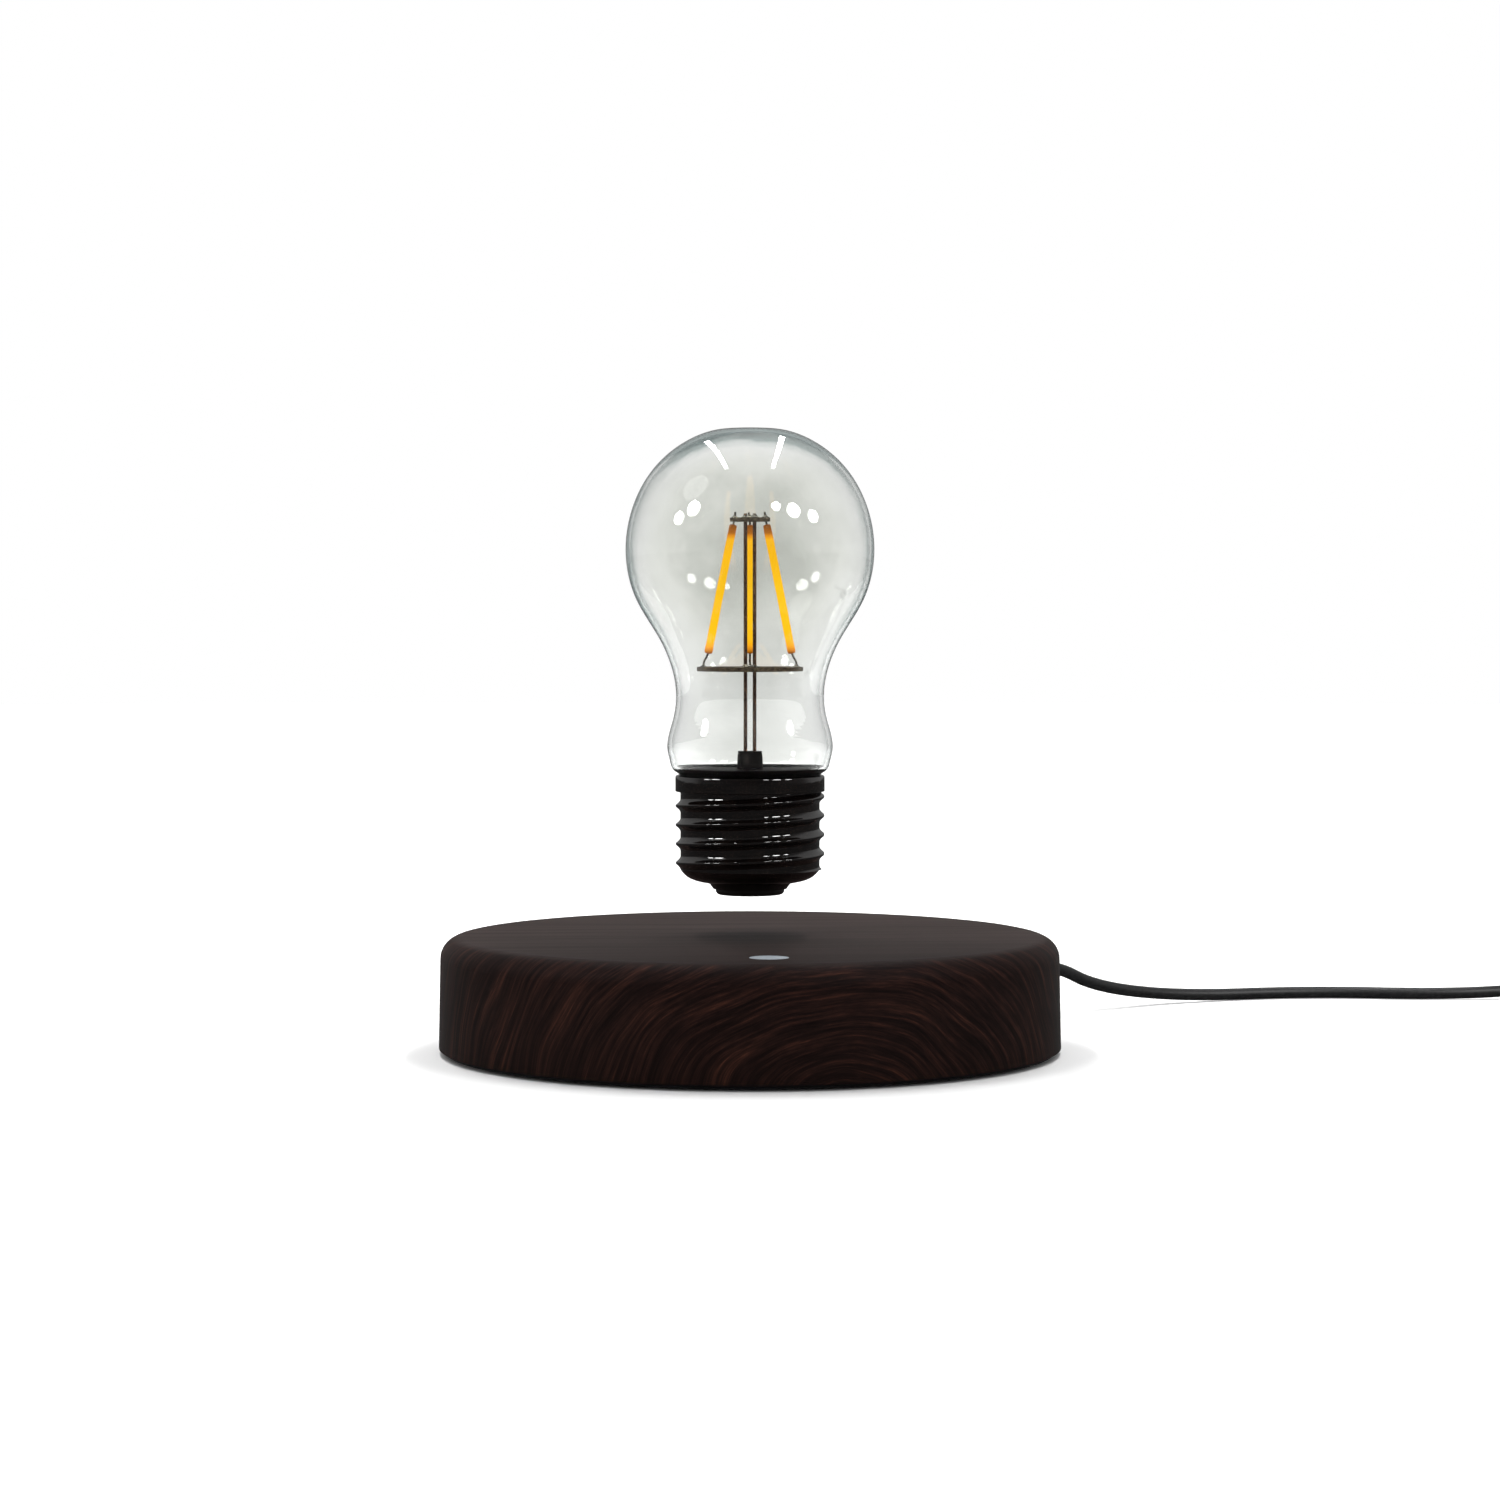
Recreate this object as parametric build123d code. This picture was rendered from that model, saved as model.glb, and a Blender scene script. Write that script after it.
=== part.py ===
from build123d import *
from math import atan2, cos, degrees, dist, pi, radians, sin, sqrt, tan
import os

# Levitating lamp in millimetres, +Z up, origin under the middle of the base where its feet stand.
# The touch disc marks the front, towards -Y. The bulb and the lead are set out in a frame that is
# turned about Z by VIEW_TURN, which is how they stand to the base at rest.

os.makedirs("parts", exist_ok=True)

CUT_OVER = 1.0  # how far every cut runs past the face it opens
VIEW_TURN = -4.5  # degrees

# Base housing: a moulded drum with a rounded top edge, open underneath
BASE_RADIUS = 75.0
BASE_HEIGHT = 28.0
BASE_DRAFT = 0.5
EDGE_ROUND = 5.0
HOUSING_WALL = 2.6
HOUSING_TOP = 2.2
INNER_ROUND = 2.8
SKIRT_LIFT = 1.5

# Bottom cover, inset under the wall, with four screws and four feet
COVER_INSET = 1.4
COVER_THICK = 2.0
COVER_GAP = 0.3
FOOT_PROUD = 0.6
FOOT_THICK = 1.2
FOOT_RADIUS = 5.0
FOOT_INSET = 17.0  # from the base's edge to a foot's axis
FOOT_ROUND = 0.25
FOOT_GAP = 0.1
FOOT_COUNT = 4
FOOT_AZIMUTH = 60.0
SCREW_INSET = 11.0
SCREW_COUNT = 4
SCREW_AZIMUTH = 15.0
SCREW_RADIUS = 1.5
SCREW_LENGTH = 9.0
SCREW_HEAD_RADIUS = 2.7
SCREW_HEAD_THICK = 1.0
SCREW_GAP = 0.1
SCREW_DRIVE_RADIUS = 0.9
SCREW_DRIVE_DEPTH = 0.6
HEAD_SINK = 0.1
BOSS_RADIUS = 3.2

# Touch disc in the top near the front edge, and the board under it
LENS_RADIUS = 4.5
LENS_INSET = 20.0
LENS_GAP = 0.1
LENS_FLANGE_RADIUS = 5.9
LENS_FLANGE_THICK = 1.2
LED_HEIGHT = 0.9
LED_WIDTH = 2.8
LED_GAP = 0.1
TOUCH_BOARD_WIDTH = 22.0
TOUCH_BOARD_DEPTH = 12.0
TOUCH_BOARD_THICK = 1.2
TOUCH_POST_RADIUS = 1.8
TOUCH_POST_OFFSET = 8.0
TOUCH_SCREW_RADIUS = 0.8
TOUCH_SCREW_BITE = 1.6
TOUCH_SCREW_HEAD_RADIUS = 1.5
TOUCH_SCREW_HEAD_THICK = 0.8
TOUCH_CHIP_SIDE = 4.0
TOUCH_CHIP_THICK = 1.1

# Main board on spacers, with the magnet, the steering coils and the sensors
SPACER_HEIGHT = 5.0
SPACER_RADIUS = 2.6
SPACER_INSET = 3.4  # from the board's edge
BOARD_INSET = 22.0  # from the base's edge
BOARD_THICK = 1.6
BOARD_SCREW_RADIUS = 1.2
BOARD_SCREW_HEAD_RADIUS = 2.2
BOARD_SCREW_HEAD_THICK = 1.6
BOARD_SCREW_BITE = 3.6
MAGNET_INSET = 7.0  # from the board's edge
MAGNET_BORE_SHARE = 0.7
MAGNET_HEADROOM = 4.6  # under the ceiling
MAGNET_CHAMFER = 0.6
BOBBIN_ORBIT_SHARE = 0.545  # of the magnet's bore, as the next two are
BOBBIN_RADIUS_SHARE = 0.34
SENSOR_BOARD_SHARE = 0.4
BOBBIN_COUNT = 4
BOBBIN_HUB_SHARE = 0.38
BOBBIN_HEADROOM = 6.6
BOBBIN_FLANGE = 1.0
CORE_WALL = 1.2
CORE_GAP = 0.05
WINDING_INSET = 0.8
WINDING_GAP = 0.1
SENSOR_BOARD_THICK = 1.0
SENSOR_WIDTH = 4.0
SENSOR_DEPTH = 3.0
SENSOR_THICK = 1.2
SENSOR_ORBIT = 6.0
SENSOR_COUNT = 3
POWER_COIL_SHARE = 0.48  # of the magnet's radius
POWER_COIL_INNER = 6.0
POWER_COIL_THICK = 1.5

# Parts on the underside of the main board
CHIP_WIDTH = 6.4
CHIP_DEPTH = 5.0
CHIP_THICK = 1.7
CHIP_INSET = 13.0  # from the board's edge
CHIP_COUNT = 6
CHIP_AZIMUTH = 15.0
INDUCTOR_RADIUS = 4.0
INDUCTOR_HEIGHT = 3.6
INDUCTOR_INSET = 29.0
INDUCTOR_COUNT = 2
INDUCTOR_ROUND = 0.6
PROCESSOR_SIDE = 9.0
PROCESSOR_THICK = 1.2

# Power socket in the wall at the back
SOCKET_AZIMUTH = 45.0  # degrees in the turned frame
SOCKET_HEIGHT = 13.0
SOCKET_WIDTH = 11.0
SOCKET_LENGTH = 12.0
SOCKET_NOSE_RADIUS = 5.5
SOCKET_NOSE_SINK = 0.4
SOCKET_STAND_OFF = 0.6
SOCKET_HOLE_GAP = 0.2
SOCKET_BORE_DEPTH = 10.5
SOCKET_CORNER = 0.8
PIN_RADIUS = 0.9
PIN_LENGTH = 9.0
PLUG_GAP = 0.25

# Barrel plug with its strain relief
BARREL_RADIUS = 2.75
BARREL_LENGTH = 9.5
PLUG_STAND_OFF = 0.6
PLUG_RADIUS = 5.0
PLUG_LENGTH = 15.0
PLUG_ROUND = 1.2
PLUG_GRIP_RADIUS = 0.5
PLUG_GRIP_COUNT = 10
PLUG_GRIP_LENGTH = 8.0
RELIEF_LENGTH = 13.0
RELIEF_WIDE = 3.6
RELIEF_NARROW = 2.2
RELIEF_GROOVES = 4
RELIEF_GROOVE_WIDTH = 1.1
RELIEF_GROOVE_DEPTH = 0.7

# Bulb: the glass outline follows these radii and heights
FLOAT_GAP = 10.0
BULB_HEIGHT = 112.2
GLASS_WALL = 1.0
GLOBE_RADIUS = 29.9
GLOBE_CENTRE = 82.0  # above the contact
NECK_RADIUS = 17.8
NECK_LEVEL = 48.0
FLARE_RADIUS = 19.9
FLARE_LEVEL = 35.0
MOUTH_RADIUS = 17.0
MOUTH_LEVEL = 26.0
MOUTH_TOP_LEVEL = 28.7
GLASS_SEAT_GAP = 0.1
# crown of the globe: share of its radius, share of its rise
CROWN_SHARES = [(0.26, 0.99), (0.5, 0.905), (0.775, 0.68), (0.95, 0.355)]
# globe to neck: share of the way in, share of the way down
SLOPE_SHARES = [(0.21, 0.32), (0.68, 0.605), (0.93, 0.825)]
# neck to flare: share of the way out, share of the way down
FLARE_SHARES = [(0.36, 0.44)]
# flare to mouth: share of the way in, share of the way down
TUCK_SHARES = [(0.2, 0.43), (0.6, 0.82)]

# Screw cap: collar, right-handed thread with hollow flanks, rounded shoulder
COLLAR_WALL = 1.0
COLLAR_TOP_LEVEL = 28.8
COLLAR_HEIGHT = 3.9
COLLAR_ROUND = 0.5
THREAD_CREST_INSET = 0.05  # from the collar's radius
THREAD_DEPTH = 1.2
THREAD_PITCH = 4.6
THREAD_LAND = 0.3
THREAD_FLANK = 1.4
THREAD_BLEND = 0.06
THREAD_FOOT_BLEND = 0.02
THREAD_SINK = 0.3
THREAD_AZIMUTH = -125.0
SHOULDER_LEVEL = 6.0
SHOULDER_WAIST_INSET = 2.15
SHOULDER_WAIST_LEVEL = 4.2
SHOULDER_END_LEVEL = 2.8
CAP_WALL = 1.4
CAP_FLOOR = 2.6
LID_LEDGE = 0.6
LID_LEDGE_LEVEL = 22.6

# Contact end
INSULATOR_RADIUS = 9.9
INSULATOR_PROUD = 1.4
INSULATOR_TAPER = 1.0
INSULATOR_NECK = 8.6
INSULATOR_FIT = 0.05
CONTACT_RADIUS = 8.3
CONTACT_THICK = 1.4
CONTACT_ROUND = 1.0

# In the cap: receiving coil, levitation magnet, driver board
RECEIVER_INSET = 0.7
RECEIVER_INNER = 4.0
RECEIVER_THICK = 1.4
BULB_MAGNET_HEIGHT = 8.0
BULB_MAGNET_GAP = 0.4
BULB_MAGNET_CHAMFER = 0.5
BULB_MAGNET_LIFT = 0.3
DRIVER_LEDGE = 0.5
DRIVER_LEVEL = 16.0
DRIVER_THICK = 1.2
DRIVER_GAP = 0.15
CAPACITOR_RADIUS = 2.5
CAPACITOR_HEIGHT = 4.2
CAPACITOR_OFFSET = 8.0
RECTIFIER_WIDTH = 6.0
RECTIFIER_DEPTH = 4.6
RECTIFIER_THICK = 1.6

# Lid inside the glass, with a boss that holds the rods
LID_TOP_LEVEL = 29.7
LID_PLUG_GAP = 0.1
LID_GLASS_GAP = 0.35
LID_THICK = 1.8
LID_WALL = 1.4
LID_ROUND = 0.5
BOSS_HEIGHT = 4.8
BOSS_WIDE = 3.2
BOSS_NARROW = 2.95
BOSS_SLOT_WIDTH = 1.2
BOSS_SLOT_DEPTH = 0.9

# Rods, plates and filaments
ROD_RADIUS = 0.45
ROD_OFFSET = 1.1
ROD_GAP = 0.05
ROD_PROUD = 1.0
LOWER_DISC_RADIUS = 12.8
LOWER_DISC_THICK = 1.0
LOWER_DISC_LEVEL = 54.0
UPPER_DISC_RADIUS = 4.85
UPPER_DISC_THICK = 0.9
UPPER_DISC_LEVEL = 89.85
FILAMENT_RADIUS = 1.0
FILAMENT_ROUND = 0.45
FILAMENT_TOP_SPREAD = 4.0
FILAMENT_FOOT_SPREAD = 10.1
FILAMENT_TOP_LEVEL = 89.1
FILAMENT_FOOT_LEVEL = 58.3
FILAMENT_SIDES = {"right": 0.0, "back": 90.0, "left": 180.0}
WIRE_RADIUS = 0.28
WIRE_GAP = 0.1
WIRE_PROUD = 1.4
WIRE_FOOT_SPREAD = 11.2
WIRE_BEND = 0.5
WIRE_START = 1.1
WIRE_DROP = 1.9
SOLDER_RADIUS = 0.95
SOLDER_HEIGHT = 0.8
SOLDER_TIP = 0.15
SOLDER_GAP = 0.05

# Lead: a round cord, its coil and its far end. The route is in the turned frame.
CORD_DIAMETER = 3.2
FLOOR_GAP = 0.05
LEAD_STRAIGHT = 10.0  # straight out of the plug
ARC_SHARE = 0.45  # of the shorter run beside a corner
CORD_FLOOR = CORD_DIAMETER / 2 + FLOOR_GAP
COIL_TURNS_IN = 3.75
COIL_TURNS_OUT = 3.5
COIL_CLIMB = 0.5  # turns, half before the spiral reverses and half after
COIL_MEAN_RADIUS = 19.2
COIL_TURN_GAP = 0.45
COIL_CENTRE_X = 238.0
COIL_CENTRE_Y = 92.0
COIL_AZIMUTH = 90.0  # where the coil begins, at its back, wound clockwise
TIE_THICK = 0.6
TIE_WIDTH = 7.0
TIE_GAP = 0.25
TIE_INNER_GAP = 1.0
TIE_ROUND = 1.2
TIE_AZIMUTH = 225.0

# Plug on the far end
USB_WIDTH = 16.0
USB_HEIGHT = 8.0
USB_LENGTH = 21.0
USB_ROUND = 1.8
USB_SHELL_WIDTH = 12.0
USB_SHELL_HEIGHT = 4.5
USB_SHELL_LENGTH = 11.8
USB_SHELL_WALL = 0.35
USB_SHELL_ROOT = 1.5
USB_TONGUE_HEIGHT = 1.9
USB_TONGUE_SINK = 0.6
USB_TONGUE_GAP = 0.3
USB_RELIEF_LENGTH = 8.0
USB_RELIEF_WIDE = 3.2
USB_RELIEF_NARROW = 2.2
TAIL_LENGTH = 34.0
TAIL_SHIFT = 1.0

# Levels and radii that follow from the sizes above
FOOT_ORBIT = BASE_RADIUS - FOOT_INSET
SCREW_ORBIT = BASE_RADIUS - SCREW_INSET
LENS_ORBIT = BASE_RADIUS - LENS_INSET
BOARD_RADIUS = BASE_RADIUS - BOARD_INSET
SPACER_ORBIT = BOARD_RADIUS - SPACER_INSET
CHIP_ORBIT = BOARD_RADIUS - CHIP_INSET
INDUCTOR_ORBIT = BOARD_RADIUS - INDUCTOR_INSET
MAGNET_OUTER = BOARD_RADIUS - MAGNET_INSET
MAGNET_INNER = MAGNET_OUTER * MAGNET_BORE_SHARE
BOBBIN_ORBIT = MAGNET_INNER * BOBBIN_ORBIT_SHARE
BOBBIN_RADIUS = MAGNET_INNER * BOBBIN_RADIUS_SHARE
BOBBIN_HUB = BOBBIN_RADIUS * BOBBIN_HUB_SHARE
CORE_RADIUS = BOBBIN_HUB - CORE_WALL
WINDING_RADIUS = BOBBIN_RADIUS - WINDING_INSET
SENSOR_BOARD_RADIUS = MAGNET_INNER * SENSOR_BOARD_SHARE
POWER_COIL_OUTER = MAGNET_OUTER * POWER_COIL_SHARE
COVER_TOP = FOOT_PROUD + COVER_THICK
INNER_RADIUS = BASE_RADIUS - HOUSING_WALL
CEILING = BASE_HEIGHT - HOUSING_TOP
BOARD_BOTTOM = COVER_TOP + SPACER_HEIGHT
BOARD_TOP = BOARD_BOTTOM + BOARD_THICK
MAGNET_TOP = CEILING - MAGNET_HEADROOM
BOBBIN_TOP = CEILING - BOBBIN_HEADROOM
TOUCH_BOARD_TOP = CEILING - LENS_FLANGE_THICK - LED_GAP - LED_HEIGHT
TOUCH_BOARD_BOTTOM = TOUCH_BOARD_TOP - TOUCH_BOARD_THICK
SOCKET_TURN = SOCKET_AZIMUTH + VIEW_TURN
WALL_RISE_SHARE = (SOCKET_HEIGHT - SKIRT_LIFT) / (BASE_HEIGHT - SKIRT_LIFT)
SOCKET_FACE = BASE_RADIUS - BASE_DRAFT * WALL_RISE_SHARE
SOCKET_FRONT = INNER_RADIUS - BASE_DRAFT - SOCKET_STAND_OFF
SOCKET_BACK = SOCKET_FRONT - SOCKET_LENGTH
SOCKET_BORE = BARREL_RADIUS + PLUG_GAP
PLUG_START = SOCKET_FACE + PLUG_STAND_OFF
RELIEF_START = PLUG_START + PLUG_LENGTH
LEAD_START = RELIEF_START + RELIEF_LENGTH
CONTACT_LEVEL = BASE_HEIGHT + FLOAT_GAP
COLLAR_RADIUS = MOUTH_RADIUS + COLLAR_WALL
THREAD_CREST = COLLAR_RADIUS - THREAD_CREST_INSET
THREAD_ROOT = THREAD_CREST - THREAD_DEPTH
CAP_BORE = THREAD_ROOT - CAP_WALL
LEDGE_BORE = CAP_BORE - LID_LEDGE
DRIVER_BORE = LEDGE_BORE - DRIVER_LEDGE
RECEIVER_OUTER = DRIVER_BORE - RECEIVER_INSET
CAP_FLOOR_LEVEL = SHOULDER_END_LEVEL + CAP_FLOOR
COLLAR_LEVEL = COLLAR_TOP_LEVEL - COLLAR_HEIGHT
COIL_PITCH = CORD_DIAMETER + COIL_TURN_GAP
COIL_FLOOR = CORD_DIAMETER / 2 + TIE_THICK + TIE_GAP
COIL_OUTER = COIL_MEAN_RADIUS + COIL_TURNS_IN * COIL_PITCH / 2
COIL_INNER = COIL_MEAN_RADIUS - COIL_TURNS_IN * COIL_PITCH / 2
USB_LEVEL = USB_HEIGHT / 2 + FLOOR_GAP


def disc(radius, low, high):
    """A round plate about Z between two levels."""
    return Pos(0, 0, low) * Cylinder(radius, high - low, align=(Align.CENTER, Align.CENTER, Align.MIN))


def ring(outer, inner, low, high):
    """A flat ring about Z between two levels."""
    return disc(outer, low, high) - disc(inner, low - CUT_OVER, high + CUT_OVER)


def block(width, depth, low, high):
    """A box centred on Z between two levels."""
    return Pos(0, 0, low) * Box(width, depth, high - low, align=(Align.CENTER, Align.CENTER, Align.MIN))


def outline(points):
    """A closed face in the XZ plane from radius and level pairs."""
    return make_face(Plane.XZ * Polyline(*points, close=True))


def corner(face, radius, level, size):
    """The same face with one corner rounded."""
    near = face.vertices().sort_by_distance((radius, 0, level))[0]
    return fillet(near, size)


def orbit(radius, angle):
    """A place on a circle about Z."""
    return Pos(radius * cos(radians(angle)), radius * sin(radians(angle)), 0)


def angles(count, start):
    """Evenly spaced angles from a start."""
    return [start + 360 * i / count for i in range(count)]


def group(pieces):
    """Separate solids that share one node."""
    return Compound([solid for piece in pieces for solid in piece.solids()])


def in_view(shape):
    """A bulb or lead piece, turned from its own frame into the part's."""
    return group(Rot(0, 0, VIEW_TURN) * solid for solid in shape.solids())


def outward(shape):
    """A piece that is modelled along +X, placed on the socket's axis."""
    return Rot(0, 0, SOCKET_TURN) * Pos(0, 0, SOCKET_HEIGHT) * shape


def along_x(radius, start, end):
    """A round bar along X."""
    return Pos(start, 0, 0) * Rot(0, 90, 0) * disc(radius, 0, end - start)


# Base

def base_housing():
    top_radius = BASE_RADIUS - BASE_DRAFT
    skin = outline([
        (0, SKIRT_LIFT),
        (BASE_RADIUS, SKIRT_LIFT),
        (top_radius, BASE_HEIGHT),
        (0, BASE_HEIGHT),
    ])
    body = revolve(corner(skin, top_radius, BASE_HEIGHT, EDGE_ROUND), Axis.Z)
    inner_top = INNER_RADIUS - BASE_DRAFT
    hollow = outline([(0, SKIRT_LIFT), (INNER_RADIUS, SKIRT_LIFT), (inner_top, CEILING), (0, CEILING)])
    body -= revolve(corner(hollow, inner_top, CEILING, INNER_ROUND), Axis.Z)
    body -= Pos(0, -LENS_ORBIT, 0) * disc(LENS_RADIUS + LENS_GAP, CEILING - CUT_OVER, BASE_HEIGHT + CUT_OVER)
    hole_radius = SOCKET_NOSE_RADIUS + SOCKET_HOLE_GAP
    body -= outward(along_x(hole_radius, SOCKET_FRONT, BASE_RADIUS + CUT_OVER))
    pilot = SCREW_RADIUS + SCREW_GAP / 2
    for angle in angles(SCREW_COUNT, SCREW_AZIMUTH):
        body += orbit(SCREW_ORBIT, angle) * ring(BOSS_RADIUS, pilot, COVER_TOP, CEILING)
    for side in (-1, 1):
        post = ring(TOUCH_POST_RADIUS, TOUCH_SCREW_RADIUS + SCREW_GAP / 2, TOUCH_BOARD_TOP, CEILING)
        body += Pos(side * TOUCH_POST_OFFSET, -LENS_ORBIT, 0) * post
    return body


def base_bottom_cover():
    body = disc(BASE_RADIUS - COVER_INSET, FOOT_PROUD, SKIRT_LIFT)
    body += disc(INNER_RADIUS - BASE_DRAFT - COVER_GAP, FOOT_PROUD, COVER_TOP)
    for angle in angles(FOOT_COUNT, FOOT_AZIMUTH):
        body -= orbit(FOOT_ORBIT, angle) * disc(FOOT_RADIUS + FOOT_GAP, FOOT_PROUD - CUT_OVER, FOOT_THICK)
    sink_top = FOOT_PROUD + HEAD_SINK + SCREW_HEAD_THICK
    for angle in angles(SCREW_COUNT, SCREW_AZIMUTH):
        body -= orbit(SCREW_ORBIT, angle) * disc(SCREW_RADIUS + SCREW_GAP, 0, COVER_TOP + CUT_OVER)
        body -= orbit(SCREW_ORBIT, angle) * disc(SCREW_HEAD_RADIUS + SCREW_GAP, 0, sink_top)
    seat_length = SOCKET_LENGTH / 2
    seat = block(seat_length, SOCKET_WIDTH, COVER_TOP, SOCKET_HEIGHT - SOCKET_WIDTH / 2)
    body += Rot(0, 0, SOCKET_TURN) * Pos(SOCKET_BACK + SOCKET_LENGTH / 2, 0, 0) * seat
    return body


def cover_screws():
    head_low = FOOT_PROUD + HEAD_SINK
    head_high = head_low + SCREW_HEAD_THICK
    screw = disc(SCREW_HEAD_RADIUS, head_low, head_high)
    screw += disc(SCREW_RADIUS, head_high, head_high + SCREW_LENGTH)
    screw -= Pos(0, 0, head_low) * extrude(RegularPolygon(SCREW_DRIVE_RADIUS, 6), SCREW_DRIVE_DEPTH)
    return group(orbit(SCREW_ORBIT, angle) * screw for angle in angles(SCREW_COUNT, SCREW_AZIMUTH))


def rubber_feet():
    pad = disc(FOOT_RADIUS, 0, FOOT_THICK)
    pad = fillet(pad.edges().group_by(Axis.Z)[0], FOOT_ROUND)
    return group(orbit(FOOT_ORBIT, angle) * pad for angle in angles(FOOT_COUNT, FOOT_AZIMUTH))


def touch_lens():
    body = disc(LENS_RADIUS, CEILING, BASE_HEIGHT)
    body += disc(LENS_FLANGE_RADIUS, CEILING - LENS_FLANGE_THICK, CEILING)
    return Pos(0, -LENS_ORBIT, 0) * body


def touch_board():
    board = block(TOUCH_BOARD_WIDTH, TOUCH_BOARD_DEPTH, TOUCH_BOARD_BOTTOM, TOUCH_BOARD_TOP)
    for side in (-1, 1):
        hole = disc(TOUCH_SCREW_RADIUS + SCREW_GAP, TOUCH_BOARD_BOTTOM - CUT_OVER, TOUCH_BOARD_TOP + CUT_OVER)
        board -= Pos(side * TOUCH_POST_OFFSET, 0, 0) * hole
    light = block(LED_WIDTH, LED_WIDTH, TOUCH_BOARD_TOP, TOUCH_BOARD_TOP + LED_HEIGHT)
    chip = block(TOUCH_CHIP_SIDE, TOUCH_CHIP_SIDE, TOUCH_BOARD_BOTTOM - TOUCH_CHIP_THICK, TOUCH_BOARD_BOTTOM)
    return group(Pos(0, -LENS_ORBIT, 0) * piece for piece in (board, light, chip))


def touch_board_screws():
    screw = disc(TOUCH_SCREW_HEAD_RADIUS, TOUCH_BOARD_BOTTOM - TOUCH_SCREW_HEAD_THICK, TOUCH_BOARD_BOTTOM)
    screw += disc(TOUCH_SCREW_RADIUS, TOUCH_BOARD_BOTTOM, TOUCH_BOARD_TOP + TOUCH_SCREW_BITE)
    return group(Pos(side * TOUCH_POST_OFFSET, -LENS_ORBIT, 0) * screw for side in (-1, 1))


def board_spacers():
    post = Pos(0, 0, COVER_TOP) * extrude(RegularPolygon(SPACER_RADIUS, 6), SPACER_HEIGHT)
    post -= disc(BOARD_SCREW_RADIUS + SCREW_GAP / 2, COVER_TOP + CUT_OVER, BOARD_BOTTOM + CUT_OVER)
    return group(orbit(SPACER_ORBIT, angle) * post for angle in angles(FOOT_COUNT, FOOT_AZIMUTH))


def main_board():
    board = disc(BOARD_RADIUS, BOARD_BOTTOM, BOARD_TOP)
    for angle in angles(FOOT_COUNT, FOOT_AZIMUTH):
        hole = disc(BOARD_SCREW_RADIUS + SCREW_GAP, BOARD_BOTTOM - CUT_OVER, BOARD_TOP + CUT_OVER)
        board -= orbit(SPACER_ORBIT, angle) * hole
    return board


def board_screws():
    screw = disc(BOARD_SCREW_HEAD_RADIUS, BOARD_TOP, BOARD_TOP + BOARD_SCREW_HEAD_THICK)
    screw += disc(BOARD_SCREW_RADIUS, BOARD_BOTTOM - BOARD_SCREW_BITE, BOARD_TOP)
    return group(orbit(SPACER_ORBIT, angle) * screw for angle in angles(FOOT_COUNT, FOOT_AZIMUTH))


def board_parts():
    chip = block(CHIP_WIDTH, CHIP_DEPTH, BOARD_BOTTOM - CHIP_THICK, BOARD_BOTTOM)
    pieces = [Rot(0, 0, angle) * Pos(CHIP_ORBIT, 0, 0) * chip for angle in angles(CHIP_COUNT, CHIP_AZIMUTH)]
    choke = disc(INDUCTOR_RADIUS, BOARD_BOTTOM - INDUCTOR_HEIGHT, BOARD_BOTTOM)
    choke = fillet(choke.edges().group_by(Axis.Z)[0], INDUCTOR_ROUND)
    pieces += [orbit(INDUCTOR_ORBIT, angle) * choke for angle in angles(INDUCTOR_COUNT, CHIP_AZIMUTH)]
    pieces.append(block(PROCESSOR_SIDE, PROCESSOR_SIDE, BOARD_BOTTOM - PROCESSOR_THICK, BOARD_BOTTOM))
    return group(pieces)


def ring_magnet():
    body = ring(MAGNET_OUTER, MAGNET_INNER, BOARD_TOP, MAGNET_TOP)
    return chamfer(body.edges().filter_by(GeomType.CIRCLE), MAGNET_CHAMFER)


def coil_bobbins():
    body = disc(BOBBIN_HUB, BOARD_TOP, BOBBIN_TOP)
    body += disc(BOBBIN_RADIUS, BOARD_TOP, BOARD_TOP + BOBBIN_FLANGE)
    body += disc(BOBBIN_RADIUS, BOBBIN_TOP - BOBBIN_FLANGE, BOBBIN_TOP)
    body -= disc(CORE_RADIUS + CORE_GAP, BOARD_TOP - CUT_OVER, BOBBIN_TOP + CUT_OVER)
    return group(orbit(BOBBIN_ORBIT, angle) * body for angle in angles(BOBBIN_COUNT, 0))


def coil_cores():
    core = disc(CORE_RADIUS, BOARD_TOP, BOBBIN_TOP)
    return group(orbit(BOBBIN_ORBIT, angle) * core for angle in angles(BOBBIN_COUNT, 0))


def steering_coils():
    low = BOARD_TOP + BOBBIN_FLANGE
    winding = ring(WINDING_RADIUS, BOBBIN_HUB + WINDING_GAP, low, BOBBIN_TOP - BOBBIN_FLANGE)
    return group(orbit(BOBBIN_ORBIT, angle) * winding for angle in angles(BOBBIN_COUNT, 0))


def hall_sensor_board():
    high = BOBBIN_TOP + SENSOR_BOARD_THICK
    sensor = block(SENSOR_WIDTH, SENSOR_DEPTH, high, high + SENSOR_THICK)
    pieces = [disc(SENSOR_BOARD_RADIUS, BOBBIN_TOP, high)]
    pieces += [orbit(SENSOR_ORBIT, angle) * sensor for angle in angles(SENSOR_COUNT, 90)]
    return group(pieces)


def power_coil():
    return ring(POWER_COIL_OUTER, POWER_COIL_INNER, CEILING - POWER_COIL_THICK, CEILING)


# Power socket and plug, along +X from the middle of the base

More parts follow.
